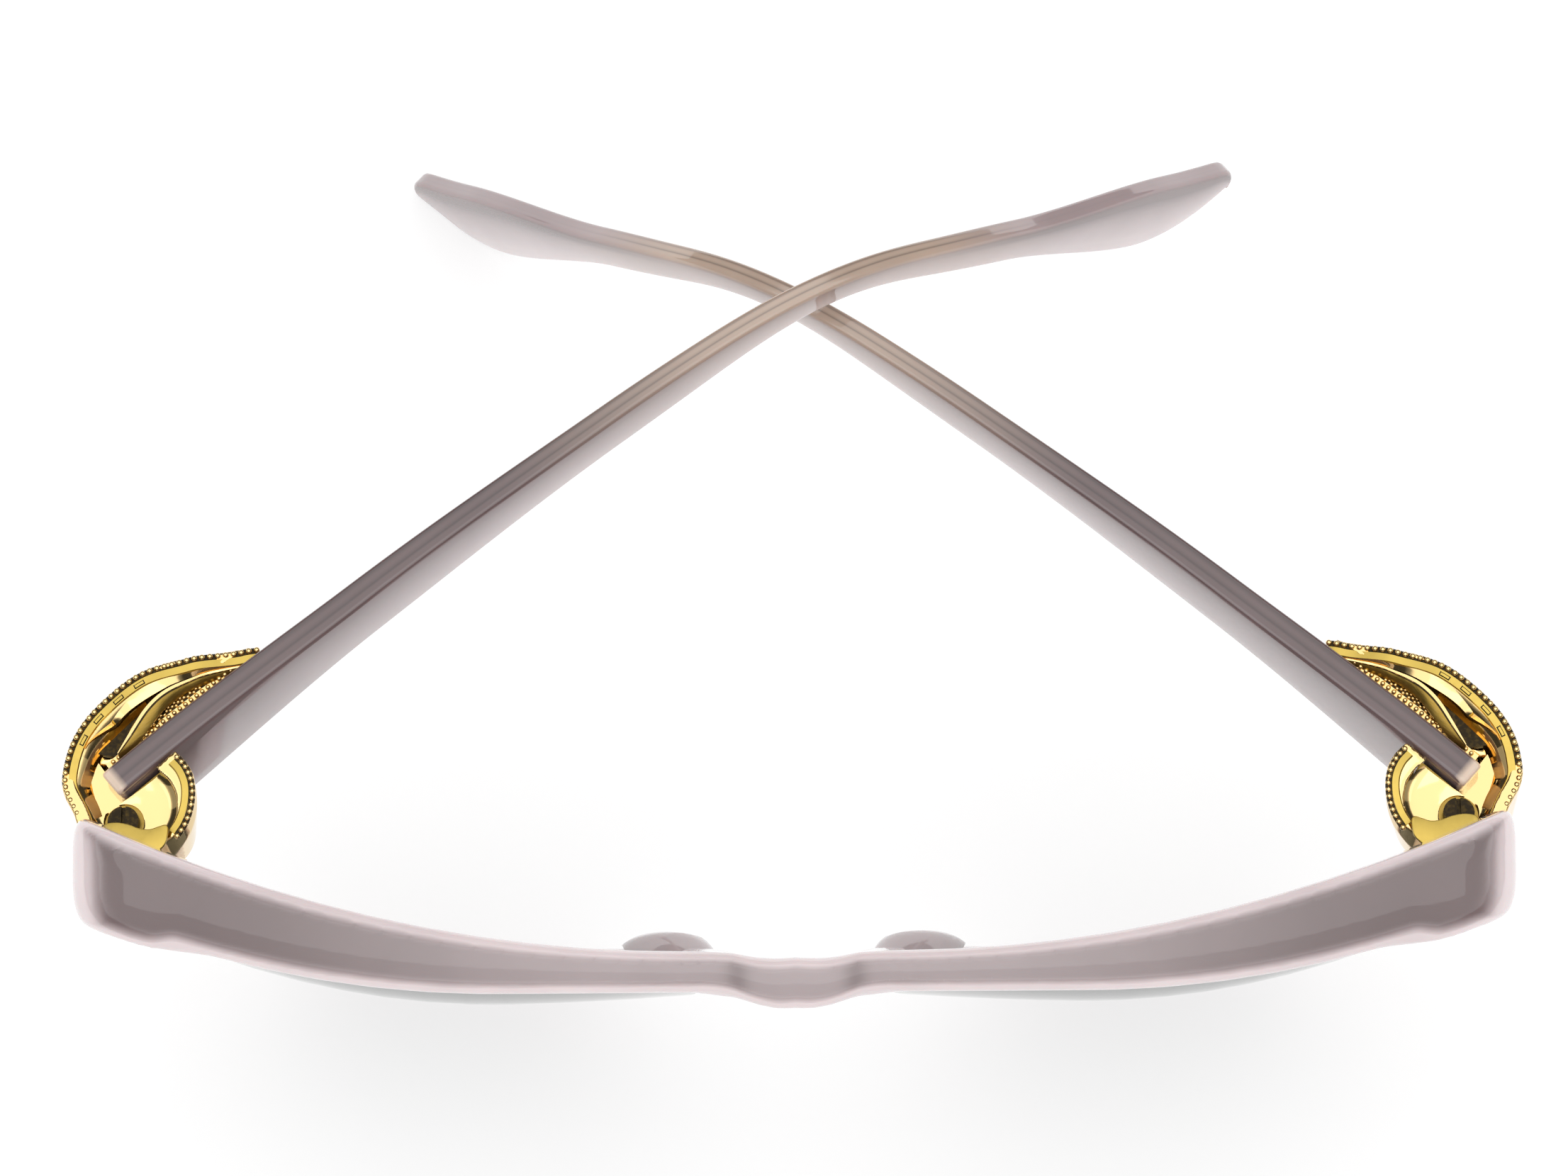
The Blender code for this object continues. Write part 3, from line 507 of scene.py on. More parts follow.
@finish
def rubbed_gold(look, tree, place):
    """Gold plate rubbed with a fine cloth: an even tan sheen without sharp reflections."""
    # Rub marks 0.5 mm apart
    marks = add_node(tree, "ShaderNodeTexNoise", {"Vector": place, "Scale": 2000.0, "Detail": 3.0})
    gloss = add_node(tree, "ShaderNodeMapRange", {
        "Value": marks.outputs["Fac"], "To Min": 0.3, "To Max": 0.45})
    bump = add_node(tree, "ShaderNodeBump", {
        "Height": marks.outputs["Fac"], "Strength": 0.12, "Distance": 0.00005})
    return {"Base Color": look.band_color, "Metallic": 1.0, "Roughness": gloss.outputs["Result"],
            "Normal": bump.outputs["Normal"]}


@finish
def patina_and_painted_shade_gold(look, tree, place):
    """Dark gold: patina in the recesses between the beads, where the polishing wheel doesn't reach, and
    painted shade and painted reflection in the groove below the slope, the bed beside the temple and the
    hinge screws.
    """
    # Grains of grime 0.4 mm across
    grime = add_node(tree, "ShaderNodeTexNoise", {"Vector": place, "Scale": 2500.0, "Detail": 4.0})
    spread = add_node(tree, "ShaderNodeMapRange", {
        "Value": grime.outputs["Fac"], "From Min": 0.45, "From Max": 0.75})
    shade = add_node(tree, "ShaderNodeMix", {
        "Factor": spread.outputs["Result"], "A": look.patina_and_shade_color,
        "B": blend(look.patina_and_shade_color, look.satin_color, 0.18)}, data_type="RGBA")
    bump = add_node(tree, "ShaderNodeBump", {
        "Height": grime.outputs["Fac"], "Strength": 0.5, "Distance": 0.0001})
    return {"Base Color": shade.outputs["Result"], "Metallic": 0.7, "Roughness": 0.45,
            "Normal": bump.outputs["Normal"]}


@finish
def tinted_lens(look, tree, place):
    """Nylon sun lens, dyed grey and hard coated: dark, clear and very smooth."""
    # The dye is a little denser towards the brow
    height = add_node(tree, "ShaderNodeSeparateXYZ", {"Vector": place})
    share = add_node(tree, "ShaderNodeMapRange", {
        "Value": height.outputs["Z"], "From Min": 0.004, "From Max": 0.043})
    shade = add_node(tree, "ShaderNodeMix", {
        "Factor": share.outputs["Result"], "A": look.lens_color,
        "B": blend(look.lens_color, (0.0, 0.0, 0.0, 1.0), 0.35)}, data_type="RGBA")
    # Wipe marks 7 mm across
    wipes = add_node(tree, "ShaderNodeTexNoise", {"Vector": place, "Scale": 140.0, "Detail": 5.0})
    gloss = add_node(tree, "ShaderNodeMapRange", {
        "Value": wipes.outputs["Fac"], "From Min": 0.4, "To Min": 0.02, "To Max": 0.07})
    # The anti-reflection coat takes most of the mirror out of the surface
    return {"Base Color": shade.outputs["Result"], "Roughness": gloss.outputs["Result"], "IOR": 1.53,
            "Specular Tint": (0.16, 0.17, 0.165, 1.0), "Transmission Weight": 0.3}


@finish
def turned_steel(look, tree, place):
    """Gold-washed steel pins, turned on a lathe: fine rings in a pale straw metal."""
    rings = add_node(tree, "ShaderNodeTexWave", {
        "Vector": place, "Scale": 900.0, "Distortion": 1.0, "Detail": 2.0},
        wave_type="BANDS", bands_direction="Z")
    gloss = add_node(tree, "ShaderNodeMapRange", {
        "Value": rings.outputs["Fac"], "To Min": 0.2, "To Max": 0.34})
    bump = add_node(tree, "ShaderNodeBump", {
        "Height": rings.outputs["Fac"], "Strength": 0.2, "Distance": 0.00003})
    return {"Base Color": look.pin_color, "Metallic": 1.0, "Roughness": gloss.outputs["Result"],
            "Normal": bump.outputs["Normal"]}


# Pieces

def paint_plate_light_and_shade(bm, across, look):
    """Paint light and shade on a translucent plate: painted shade where one looks into its edges, painted
    light on its faces.
    """
    dark = tuple(look.acetate_dark)
    pale = tuple(look.acetate_pale)
    layer = tint_layer(bm)
    bm.normal_update()
    for vert in bm.verts:
        # Painted light and shade by facing: the sheet's faces, and sides that face along x such as the end
        # pieces' outer ends, are painted pale, and edges seen end on are painted dark
        facing = max(abs(vert.normal.dot(across)), 0.85 * abs(vert.normal.x))
        share = min(1.0, max(0.0, (facing - 0.14) / 0.5))
        # Painted light: paler beside the bridge and darker towards the end pieces, for the light that passes
        # through the thinner stretches
        deep = blend(blend(dark, pale, 0.36), dark, ease([(14.0, 0.0), (60.0, 1.0)], abs(vert.co.x) / MM))
        # Painted reflection: a dark band on each side of the bridge, where the sheet curves into it
        deep = blend(deep, dark, 0.6 * math.exp(-((abs(vert.co.x) / MM - 5.6) / 1.1) ** 2))
        vert[layer] = blend(deep, pale, share * share * (3.0 - 2.0 * share))


def make_front(look):
    """The acetate front and its nose pads."""
    bm = refined_copy("front_frame", "front_acetate", FRONT_GRAIN)
    for vert in bm.verts:
        if abs(vert.co.x) < BRIDGE_REACH * MM:
            vert.co.y -= BRIDGE_SWELL * MM * math.sin(math.pi * abs(vert.co.x) / (BRIDGE_REACH * MM))
        vert.co.y = max(vert.co.y, CAD_BOX[0][1])
    lean = FACE_TILT - STANCE
    paint_plate_light_and_shade(bm, Vector((0.0, math.cos(lean), math.sin(lean))), look)
    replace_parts(finished("front_acetate", bm, "front", polished_acetate(), 180.0), "front_frame")
    for word in SIDES:
        bm = merged_copy(f"nose_pad_{word}")
        layer = tint_layer(bm)
        bmesh.ops.subdivide_edges(bm, edges=bm.edges, cuts=1, use_grid_fill=True, smooth=0.4)
        for _ in range(3):
            bmesh.ops.smooth_vert(bm, verts=bm.verts, factor=0.5, use_axis_x=True, use_axis_y=True,
                                  use_axis_z=True)
        middle = sum((v.co for v in bm.verts), Vector()) / len(bm.verts)
        for vert in bm.verts:
            away = vert.co - middle
            deeper = PAD_DEEPER if away.y < 0.0 else 1.0
            vert.co = middle + Vector((away.x * PAD_WIDER, away.y * deeper, away.z))
            vert[layer] = blend(tuple(look.acetate_dark), tuple(look.acetate_pale), 0.5)
        piece = finished(f"nose_pad_shell_{word}", bm, "front", polished_acetate(), 180.0)
        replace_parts(piece, f"nose_pad_{word}")


def make_lenses():
    """Both tinted lenses."""
    for word in SIDES:
        bm = merged_copy(f"lens_{word}")
        middle = sum((v.co for v in bm.verts), Vector()) / len(bm.verts)
        for vert in bm.verts:
            away = vert.co - middle
            vert.co = middle + Vector((away.x * LENS_WIDER, away.y, away.z * LENS_TALLER))
        piece = finished(f"sun_lens_{word}", bm, "front", tinted_lens(), 40.0)
        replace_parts(piece, f"lens_{word}")


def temple_stations():
    """Stations of the temple's sections, close together where its butt and its tip are rounded."""
    near_tip = TEMPLE_LENGTH * 213 / 220.0
    return ([0.0, 0.04, 0.12, 0.24, 0.45] + [TEMPLE_LENGTH * k / 220.0 for k in range(1, 213)]
            + [near_tip + (TEMPLE_LENGTH - near_tip) * s for s in (0.0, 0.3, 0.55, 0.75, 0.88, 0.96, 1.0)])


def temple_section(half, top, bottom, edge):
    """Outline of a section, outwards and upwards: rounded edges, and points on its flats for the tints."""
    flat = half - edge
    face = top - bottom - 2.0 * edge
    between = {
        0: [(flat - 2.0 * flat * k / 8.0, top) for k in range(1, 8)],
        90: [(-half, top - edge - face * k / 6.0) for k in range(1, 6)],
        180: [],
        270: [(half, bottom + edge + face * k / 6.0) for k in range(1, 6)],
    }
    ring = []
    for out, up, start in ((flat, top - edge, 0), (-flat, top - edge, 90), (-flat, bottom + edge, 180),
                           (flat, bottom + edge, 270)):
        for k in range(6):
            angle = math.radians(start + 90.0 * k / 5.0)
            ring.append((out + edge * math.cos(angle), up + edge * math.sin(angle)))
        ring += between[start]
    return ring


def temple_tint(look, station, n, w, top, bottom, half):
    """Colour of the temple: painted shade on its narrow top with dark lines along it, a beige middle and
    paler faces.
    """
    dark, mid, pale, beige = (tuple(c) for c in (look.acetate_dark, look.acetate_mid, look.acetate_pale,
                                                 look.acetate_beige))
    height = (w - bottom) / max(0.1, top - bottom)
    face = blend(pale, mid, min(1.0, max(0.0, (height - 0.1) / 0.75)))
    # Painted shade, as on the front's edges: the narrow top is painted dark, where one looks into the sheet
    # edge on
    on_top = min(1.0, max(0.0, (w - (top - 0.45)) / 0.3))
    across = n / half
    line = max(math.exp(-((across - 0.62) / 0.13) ** 2), math.exp(-((across + 0.12) / 0.11) ** 2))
    strip = blend(dark, blend(dark, (0.0, 0.0, 0.0, 1.0), 0.5), line)
    warm = ease([(45.0, 0.0), (80.0, 0.6), (104.0, 0.6), (124.0, 0.0)], station)
    strip = blend(strip, beige, warm * (1.0 - 0.5 * line))
    # The paddle has a dark line below its edge and a paler top
    paddle = ease([(96.0, 0.0), (116.0, 1.0)], station)
    shade = math.exp(-((height - 0.84) / 0.13) ** 2)
    face = blend(blend(face, beige, 0.4 * warm), dark, 0.75 * paddle * shade)
    strip = blend(strip, blend(mid, pale, 0.3), 0.85 * paddle)
    return blend(face, strip, on_top)


def make_temples(look):
    """Both slim temples, from the butt at the hinge to the paddle behind the ear."""
    stations = temple_stations()
    for word in SIDES:
        hinge = HingeFrame(word)
        rings, tints = [], []
        for station, (place, out, up) in zip(stations, temple_line(stations)):
            half = ease(TEMPLE_THICKNESSES, station) / 2.0
            top, bottom = temple_heights(station)
            edge = min(TEMPLE_EDGE, 0.45 * (top - bottom), 0.7 * half)
            if station < edge:
                ends = 0.55 * (1.0 - math.sqrt(max(0.0, 1.0 - (1.0 - station / edge) ** 2))) * edge
                half, top, bottom = half - ends, top - ends, bottom + ends
            ring = temple_section(half, top, bottom, edge)
            rings.append([hinge.at(*(place + out * n + up * w)) for n, w in ring])
            tints.append([temple_tint(look, station, n, w, top, bottom, half) for n, w in ring])
        bm = bmesh.new()
        layer = tint_layer(bm)
        sweep(bm, rings, tints=tints)
        # The sawn butt is pale, and the tip stands on the table
        butt = hinge.pivot + hinge.along * (TEMPLE_START + 0.2) * MM
        for vert in bm.verts:
            if (vert.co - butt).dot(hinge.along) < 0.0:
                vert[layer] = tuple(look.acetate_beige)
            vert.co.y = min(vert.co.y, CAD_BOX[1][1])
            vert.co.z = max(vert.co.z, 0.0)
        bmesh.ops.recalc_face_normals(bm, faces=bm.faces)
        piece = finished(f"temple_arm_{word}", bm, f"{word}_temple", polished_acetate(), 40.0)
        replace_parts(piece, f"temple_{word}")


def rim_out(x):
    """How far out the cuff's outer edge lies at a distance along the temple."""
    return min(RIM_CURVE, key=lambda p: abs(p.x - x)).y


def cuff_rooms(hinge, level):
    """The rooms that petal, slope and well take out of the cuff's top or bottom."""
    start, end, steps = 0.8, 19.2, 30
    rings = []
    for k in range(steps + 1):
        x = start + (end - start) * k / steps
        outer = rim_out(x) - 1.35
        inner = min(temple_outer_face(x) + 0.3, outer - 0.05)
        low = cuff_edge(x, level) - level * ease([(start, 1.6), (4.0, 2.6), (15.0, 2.4), (end, 0.6)], x)
        high = cuff_edge(x, level) + level * 1.5
        corners = ((inner, low), (outer, low), (outer, high), (inner, high))
        rings.append([hinge.at(x, n, w) for n, w in corners])
    moat = bmesh.new()
    sweep(moat, rings)
    brink = [p for p in offset_curve(smooth_curve(BAND_ARC, 0.4), 1.4) if p.x < 3.4 and p.y > 0.6]
    ring = [*brink, Vector((1.5, 0.6)), Vector((3.4, 4.0))]
    well = bmesh.new()
    sweep(well, [[hinge.at(*p, level * w) for p in ring] for w in (3.3, 8.0)])
    return [moat, well]


def make_cuff_shells():
    """The polished cuff round each hinge and its small inner leaf."""
    for word in SIDES:
        hinge = HingeFrame(word)
        rooms = [*cuff_rooms(hinge, 1.0), *cuff_rooms(hinge, -1.0)]
        for node, name, carved in ((f"cuff_{word}", f"cuff_shell_{word}", rooms),
                                   (f"cuff_leaf_{word}", f"cuff_curl_{word}", ())):
            bm = refined_copy(node, name, CUFF_GRAIN, carved)
            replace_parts(finished(name, bm, f"{word}_temple", polished_gold(), 180.0), node)


def plate_edge(x, level):
    """Height of the upper or lower edge of the plate between cuff and temple."""
    station = max(0.0, x - TEMPLE_START)
    place = temple_line([station])[0][0]
    return place.z + level * (ease(TEMPLE_HEIGHTS, station) / 2.0 - 1.35)


def make_plates():
    """The thin plate between each cuff and its temple."""
    start, length, thickness, steps = 1.9, 16.2, 0.6, 42
    for word in SIDES:
        hinge = HingeFrame(word)
        rings = []
        for k in range(steps + 1):
            x = start + length * k / steps
            inner = temple_outer_face(x) + 0.3
            rings.append([hinge.at(x, inner + n, plate_edge(x, level)) for n, level in
                          ((0.0, 1.0), (thickness, 1.0), (thickness, -1.0), (0.0, -1.0))])
        bm = bmesh.new()
        sweep(bm, rings)
        bmesh.ops.recalc_face_normals(bm, faces=bm.faces)
        piece = finished(f"cuff_backplate_{word}", bm, f"{word}_temple", polished_gold(), 40.0)
        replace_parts(piece, f"cuff_plate_{word}")


def bar(bm, hinge, path, level, section):
    """Sweep a section along a line on the cuff's edge. Its points are offsets inwards and heights."""
    sides = [offset_curve(path, inwards) for inwards, height in section]
    sweep(bm, [[hinge.at(*side[i], cuff_edge(path[i].x, level) + level * height)
                for side, (inwards, height) in zip(sides, section)] for i in range(len(path))])


def rim_parts(hinge, look, level, parts):
    """Bead rows, dark groove and rubbed band along the cuff's outer edge, and the well's wall and floor."""
    arc = smooth_curve(OUTER_ARC, look.bead_pitch / MM)
    for p, spot in zip(arc, offset_curve(arc, 0.34)):
        add_bead(parts["beads"], hinge.at(*spot, cuff_edge(p.x, level) + level * 0.16),
                 look.bead_diameter / MM / 2.0)
    # Three more rows on the front wall, each one shorter
    close = smooth_curve(OUTER_ARC, 0.62)
    for row in (1, 2, 3):
        for p, spot in zip(close, offset_curve(close, 0.24)):
            if p.x < 4.5 - 1.2 * row:
                w = cuff_edge(p.x, level) - level * (0.05 + 0.58 * row)
                add_bead(parts["beads"], hinge.at(*spot, w), 0.25)
    bar(parts["bed"], hinge, smooth_curve(OUTER_ARC, 0.4), level, BEAD_BED)
    band = smooth_curve(BAND_ARC, 0.4)
    bar(parts["rim"], hinge, band, level, RIM_BAND)
    bar(parts["scoop"], hinge, [p for p in band if p.x < 9.0], level, WELL_WALL)
    sweep(parts["scoop"], [[hinge.at(x, n, level * w) for x, n in WELL_FLOOR] for w in (3.2, 3.65)])
    for middle in ENGRAVED:
        side = [p for p in RIM_CURVE if p.x > middle][-14:-1]
        for a in (0.88, 1.2):
            bar(parts["lines"], hinge, side, level, [(a, 0.15), (a + 0.07, 0.21), (a + 0.14, 0.15)])
        for end in (side[:2], side[-2:]):
            bar(parts["lines"], hinge, end, level, [(0.88, 0.15), (0.9, 0.21), (1.32, 0.2), (1.34, 0.14)])


def scoop_parts(hinge, level, parts):
    """The polished slope inside the band, the brushed petal and the dark beaded bed beside the temple, whose
    dark gold is painted shade.
    """
    ridge = smooth_curve(PETAL_RIDGE, 0.4)
    count = len(ridge)
    inner = resampled(smooth_curve(PETAL_INNER, 0.1), count)
    band = resampled([p for p in offset_curve(RIM_CURVE, 1.44) if 1.0 < p.x < 19.3], count)
    rings = {name: [] for name in ("slope", "crown", "seam", "petal", "floor", "groove")}
    # At each step, r lies on the ridge, q on the petal's inner edge and o on the band
    for i, (r, q, o) in enumerate(zip(ridge, inner, band)):
        t = i / (count - 1.0)
        size = ease([(0.0, 0.3), (0.25, 1.0), (0.8, 1.0), (1.0, 0.8)], t)
        reach = ease([(0.0, 0.93), (0.5, 0.90), (0.8, 0.5), (1.0, 0.05)], t)
        top = cuff_edge(o.x, level) - level * 0.02
        crest = cuff_edge(r.x, level) - level * 0.5 * size
        deep = crest - level * 1.3
        low = crest - level * 0.62 * size
        bank = o.lerp(r, reach)
        fall = (crest - level * 0.02 * size - top) * reach
        # Towards the well the slope drops behind a lip of its own
        lip = ease([(0.62, 0.0), (1.0, 0.6)], t)
        plunge = -level * 1.5 * lip
        rings["slope"].append(
            [hinge.at(*o, top)]
            + [hinge.at(*o.lerp(bank, lip + (1.0 - lip) * s), top + plunge + (fall - plunge) * s ** 1.05)
               for s in (0.03, 0.25, 0.5, 0.75, 1.0)]
            + [hinge.at(*bank, deep), hinge.at(*o, deep)])
        # Painted reflection: the groove under the slope's bank goes to the dark gold of the bed
        rings["groove"].append([hinge.at(*bank, deep), hinge.at(*r, deep), hinge.at(*r, deep - level * 0.6),
                                hinge.at(*bank, deep - level * 0.6)])
        for name, section in (("crown", PETAL_CROWN), ("seam", PETAL_SEAM)):
            rings[name].append([hinge.at(*r.lerp(q, s), crest + level * h) for s, h in section])
        rings["petal"].append([hinge.at(*r.lerp(q, s), crest + (low - crest) * h) for s, h in PETAL_BAND]
                              + [hinge.at(*q, low - level * 0.35), hinge.at(*r, crest - level * 1.35)])
        # The bed lies below both the petal's inner edge and the plate, with beads in staggered lanes; its
        # dark gold is painted shade and painted reflection between the bead row and the temple
        wall = min(temple_outer_face(q.x) + 0.85, q.y - 0.02)
        depth = min(level * (low - level * 0.3), level * plate_edge(q.x, level)) * level
        brink = q.lerp(r, 0.3)
        rings["floor"].append([hinge.at(*brink, depth), hinge.at(*brink, depth - level),
                               hinge.at(q.x, wall, depth - level), hinge.at(q.x, wall, depth)])
        shift = 0.2 * (i % 2)
        for lane in range(int((brink.y - wall) / 0.42)):
            spot = hinge.at(q.x, wall + 0.2 + shift + 0.42 * lane, depth + level * 0.03)
            add_bead(parts["beads"], spot, 0.19)
    # The groove and the floor take the bed's dark gold, as painted reflection and painted shade
    for name, part in (("slope", "scoop"), ("crown", "scoop"), ("seam", "lines"), ("petal", "petal"),
                       ("floor", "bed"), ("groove", "bed")):
        sweep(parts[part], rings[name])
    x = 2.6
    while x < 17.8:
        spot = hinge.at(x, temple_outer_face(x) + 0.56, plate_edge(x, level) + level * 0.1)
        add_bead(parts["beads"], spot, 0.26)
        x += 0.68


def leaf_parts(hinge, look, parts):
    """Bead row and band on the inner leaf's edge, and the polished dish round the hinge."""
    arc = smooth_curve(LEAF_ARC, look.bead_pitch / MM * 0.9)
    for p, spot in zip(arc, offset_curve(arc, -0.34)):
        add_bead(parts["beads"], hinge.at(*spot, cuff_edge(p.x, 1.0) - 0.12), look.bead_diameter / MM / 2.0)
    path = smooth_curve(LEAF_ARC, 0.4)
    bar(parts["bed"], hinge, path, 1.0, LEAF_BED)
    bar(parts["rim"], hinge, path, 1.0, LEAF_BAND)
    angles = [2.0 * math.pi * k / DISH_SIDES for k in range(DISH_SIDES)]
    rings = [[hinge.at(x + radius * math.cos(a), n + radius * math.sin(a), w) for a in angles]
             for x, n, radius, w in DISH]
    dish = parts["dish"]
    sweep(dish, rings, caps=False)
    bmesh.ops.bisect_plane(dish, geom=dish.verts[:] + dish.edges[:] + dish.faces[:], dist=0.0000001,
                           plane_co=hinge.at(0.0, DISH_CUT, 0.0), plane_no=hinge.out, clear_outer=True)


def make_cuff_trim(look):
    """Bead rows, rim band, slope, brushed petal and dish of each cuff."""
    finishes = {"beads": polished_gold(), "rim": rubbed_gold(), "bed": patina_and_painted_shade_gold(),
                "lines": patina_and_painted_shade_gold(), "scoop": polished_gold(), "petal": satin_gold(),
                "dish": polished_gold()}
    for word in SIDES:
        hinge = HingeFrame(word)
        parts = {name: bmesh.new() for name in finishes}
        for level in (1.0, -1.0):
            rim_parts(hinge, look, level, parts)
            scoop_parts(hinge, level, parts)
        leaf_parts(hinge, look, parts)
        for name, bm in parts.items():
            bmesh.ops.recalc_face_normals(bm, faces=bm.faces)
            finished(f"cuff_{name}_{word}", bm, f"{word}_temple", finishes[name], 35.0)


def make_hinges():
    """Finishes of the hinges, screws and pins, and the rubbed tab over each hinge."""
    finishes = {"front_hinge_{}": satin_gold(), "temple_hinge_{}": satin_gold(),
                # The screw heads take the dark gold as painted shade
                "hinge_screw_{}": patina_and_painted_shade_gold(), "cuff_pin_{}_1": turned_steel(),
                "cuff_pin_{}_2": turned_steel()}
    outline = smooth_curve(TAB_OUTLINE + TAB_OUTLINE[:1], 0.35)[:-1]
    for word in SIDES:
        for node, finish in finishes.items():
            slots = frame["nodes"][node.format(word)].data.materials
            slots.clear()
            slots.append(finish)
        hinge = HingeFrame(word)
        bm = bmesh.new()
        sweep(bm, [[hinge.at(*p, w) for p in outline] for w in TAB_HEIGHTS])
        bmesh.ops.recalc_face_normals(bm, faces=bm.faces)
        rims = [e for e in bm.edges if e.calc_face_angle(0.0) > 0.9]
        bmesh.ops.bevel(bm, geom=rims, offset=TAB_BEVEL * MM, segments=2, profile=0.5, affect="EDGES",
                        material=-1)
        finished(f"hinge_tab_{word}", bm, "front", rubbed_gold(), 40.0)


def make_stage(look):
    """White table, soft studio light, and the camera above the front edge."""
    floor = bmesh.new()
    bmesh.ops.create_grid(floor, x_segments=1, y_segments=1, size=3.0)
    mesh = bpy.data.meshes.new("table")
    floor.to_mesh(mesh)
    floor.free()
    table = bpy.data.objects.new("table", mesh)
    table.location.z = -0.0002
    bpy.context.scene.collection.objects.link(table)
    found, tree, shader = new_material("white_table")
    # Seen directly, more than half of its white is its own, so that the shadows stay pale
    shader.inputs["Base Color"].default_value = (0.92, 0.92, 0.92, 1.0)
    shader.inputs["Roughness"].default_value = 0.9
    shader.inputs["Specular IOR Level"].default_value = 0.0
    rays = add_node(tree, "ShaderNodeLightPath")
    seen = add_node(tree, "ShaderNodeMath", {
        0: rays.outputs["Is Camera Ray"], 1: rays.outputs["Is Glossy Ray"]}, operation="MAXIMUM")
    seen = add_node(tree, "ShaderNodeMath", {
        0: seen.outputs["Value"], 1: rays.outputs["Is Transmission Ray"]}, operation="MAXIMUM")
    share = add_node(tree, "ShaderNodeMath", {0: seen.outputs["Value"], 1: 0.6}, operation="MULTIPLY")
    glow = add_node(tree, "ShaderNodeEmission", {"Color": (1.0, 1.0, 1.0, 1.0), "Strength": 1.0})
    mix = add_node(tree, "ShaderNodeMixShader", {
        0: share.outputs["Value"], 1: shader.outputs["BSDF"], 2: glow.outputs["Emission"]})
    tree.links.new(mix.outputs["Shader"], tree.nodes["Material Output"].inputs["Surface"])
    mesh.materials.append(found)
    middle = (HingeFrame("right").pivot + HingeFrame("left").pivot) / 2.0
    lens = bpy.data.cameras.new("camera")
    lens.sensor_fit = "HORIZONTAL"
    lens.sensor_width = SENSOR_WIDTH
    lens.lens = FOCAL_LENGTH
    lens.clip_start = 0.01
    camera = bpy.data.objects.new("camera", lens)
    camera.location = middle + Vector(CAMERA_AIM) * MM + Vector(CAMERA_PLACE) * MM
    camera.rotation_euler = (Matrix.Rotation(math.radians(CAMERA_ROLL), 3, "Z")
                             @ Matrix.Rotation(math.radians(CAMERA_TILT), 3, "X")).to_euler()
    bpy.context.scene.collection.objects.link(camera)
    bpy.context.scene.camera = camera
    for name, place, size, power in (("overhead softbox", (0.0, -0.12, 1.0), (0.9, 0.5), look.key_power),
                                     ("left softbox", (-0.9, 0.0, 0.5), (0.5, 0.8), look.side_power),
                                     ("right softbox", (0.9, 0.0, 0.5), (0.5, 0.8), look.side_power)):
        lamp = bpy.data.lights.new(name, "AREA")
        lamp.shape = "RECTANGLE"
        lamp.size, lamp.size_y = size
        lamp.energy = power
        holder = bpy.data.objects.new(name, lamp)
        holder.location = place
        holder.rotation_euler = (-Vector(place)).to_track_quat("-Z", "Y").to_euler()
        bpy.context.scene.collection.objects.link(holder)
    make_world(look)
    bpy.context.scene.view_settings.view_transform = "Standard"


def make_world(look):
    """White surroundings; polished surfaces also see the darker gaps between the softboxes."""
    world = bpy.data.worlds.new("studio")
    bpy.context.scene.world = world
    world.use_nodes = True
    tree = world.node_tree
    tree.nodes.clear()
    rays = add_node(tree, "ShaderNodeLightPath")
    parts = add_node(tree, "ShaderNodeSeparateXYZ",
                     {"Vector": add_node(tree, "ShaderNodeTexCoord").outputs["Generated"]})
    ring = add_node(tree, "ShaderNodeValToRGB", {"Fac": parts.outputs["Z"]})
    ramp = ring.color_ramp
    while len(ramp.elements) < len(REFLECTED):
        ramp.elements.new(0.5)
    for element, (place, level) in zip(ramp.elements, REFLECTED):
        element.position = place
        element.color = (level, level, level, 1.0)
    gaps = add_node(tree, "ShaderNodeBackground", {"Color": ring.outputs["Color"], "Strength": 1.0})
    white = add_node(tree, "ShaderNodeBackground", {"Color": (1.0, 1.0, 1.0, 1.0), "Strength": 1.0})
    soft = add_node(tree, "ShaderNodeBackground", {"Color": (1.0, 1.0, 1.0, 1.0), "Strength": look.ambient})
    seen = add_node(tree, "ShaderNodeMixShader", {
        0: rays.outputs["Is Glossy Ray"], 1: soft.outputs["Background"], 2: gaps.outputs["Background"]})
    direct = add_node(tree, "ShaderNodeMath", {
        0: rays.outputs["Is Camera Ray"], 1: rays.outputs["Is Transmission Ray"]}, operation="MAXIMUM")
    whole = add_node(tree, "ShaderNodeMixShader", {
        0: direct.outputs["Value"], 1: seen.outputs["Shader"], 2: white.outputs["Background"]})
    add_node(tree, "ShaderNodeOutputWorld", {"Surface": whole.outputs["Shader"]})


# Add-on

def length(name, description, default):
    """A length that a user can set, from its default in millimetres."""
    return bpy.props.FloatProperty(name=name, description=description, default=default * MM, unit="LENGTH",
                                   precision=5)


def color(name, description, code):
    """A colour that a user can set, from its sRGB hex code."""
    return bpy.props.FloatVectorProperty(name=name, description=description, default=linear(code), size=4,
                                         subtype="COLOR", min=0.0, max=1.0)


def number(name, description, default, subtype="NONE"):
    """A plain number that a user can set."""
    return bpy.props.FloatProperty(name=name, description=description, default=default, subtype=subtype)


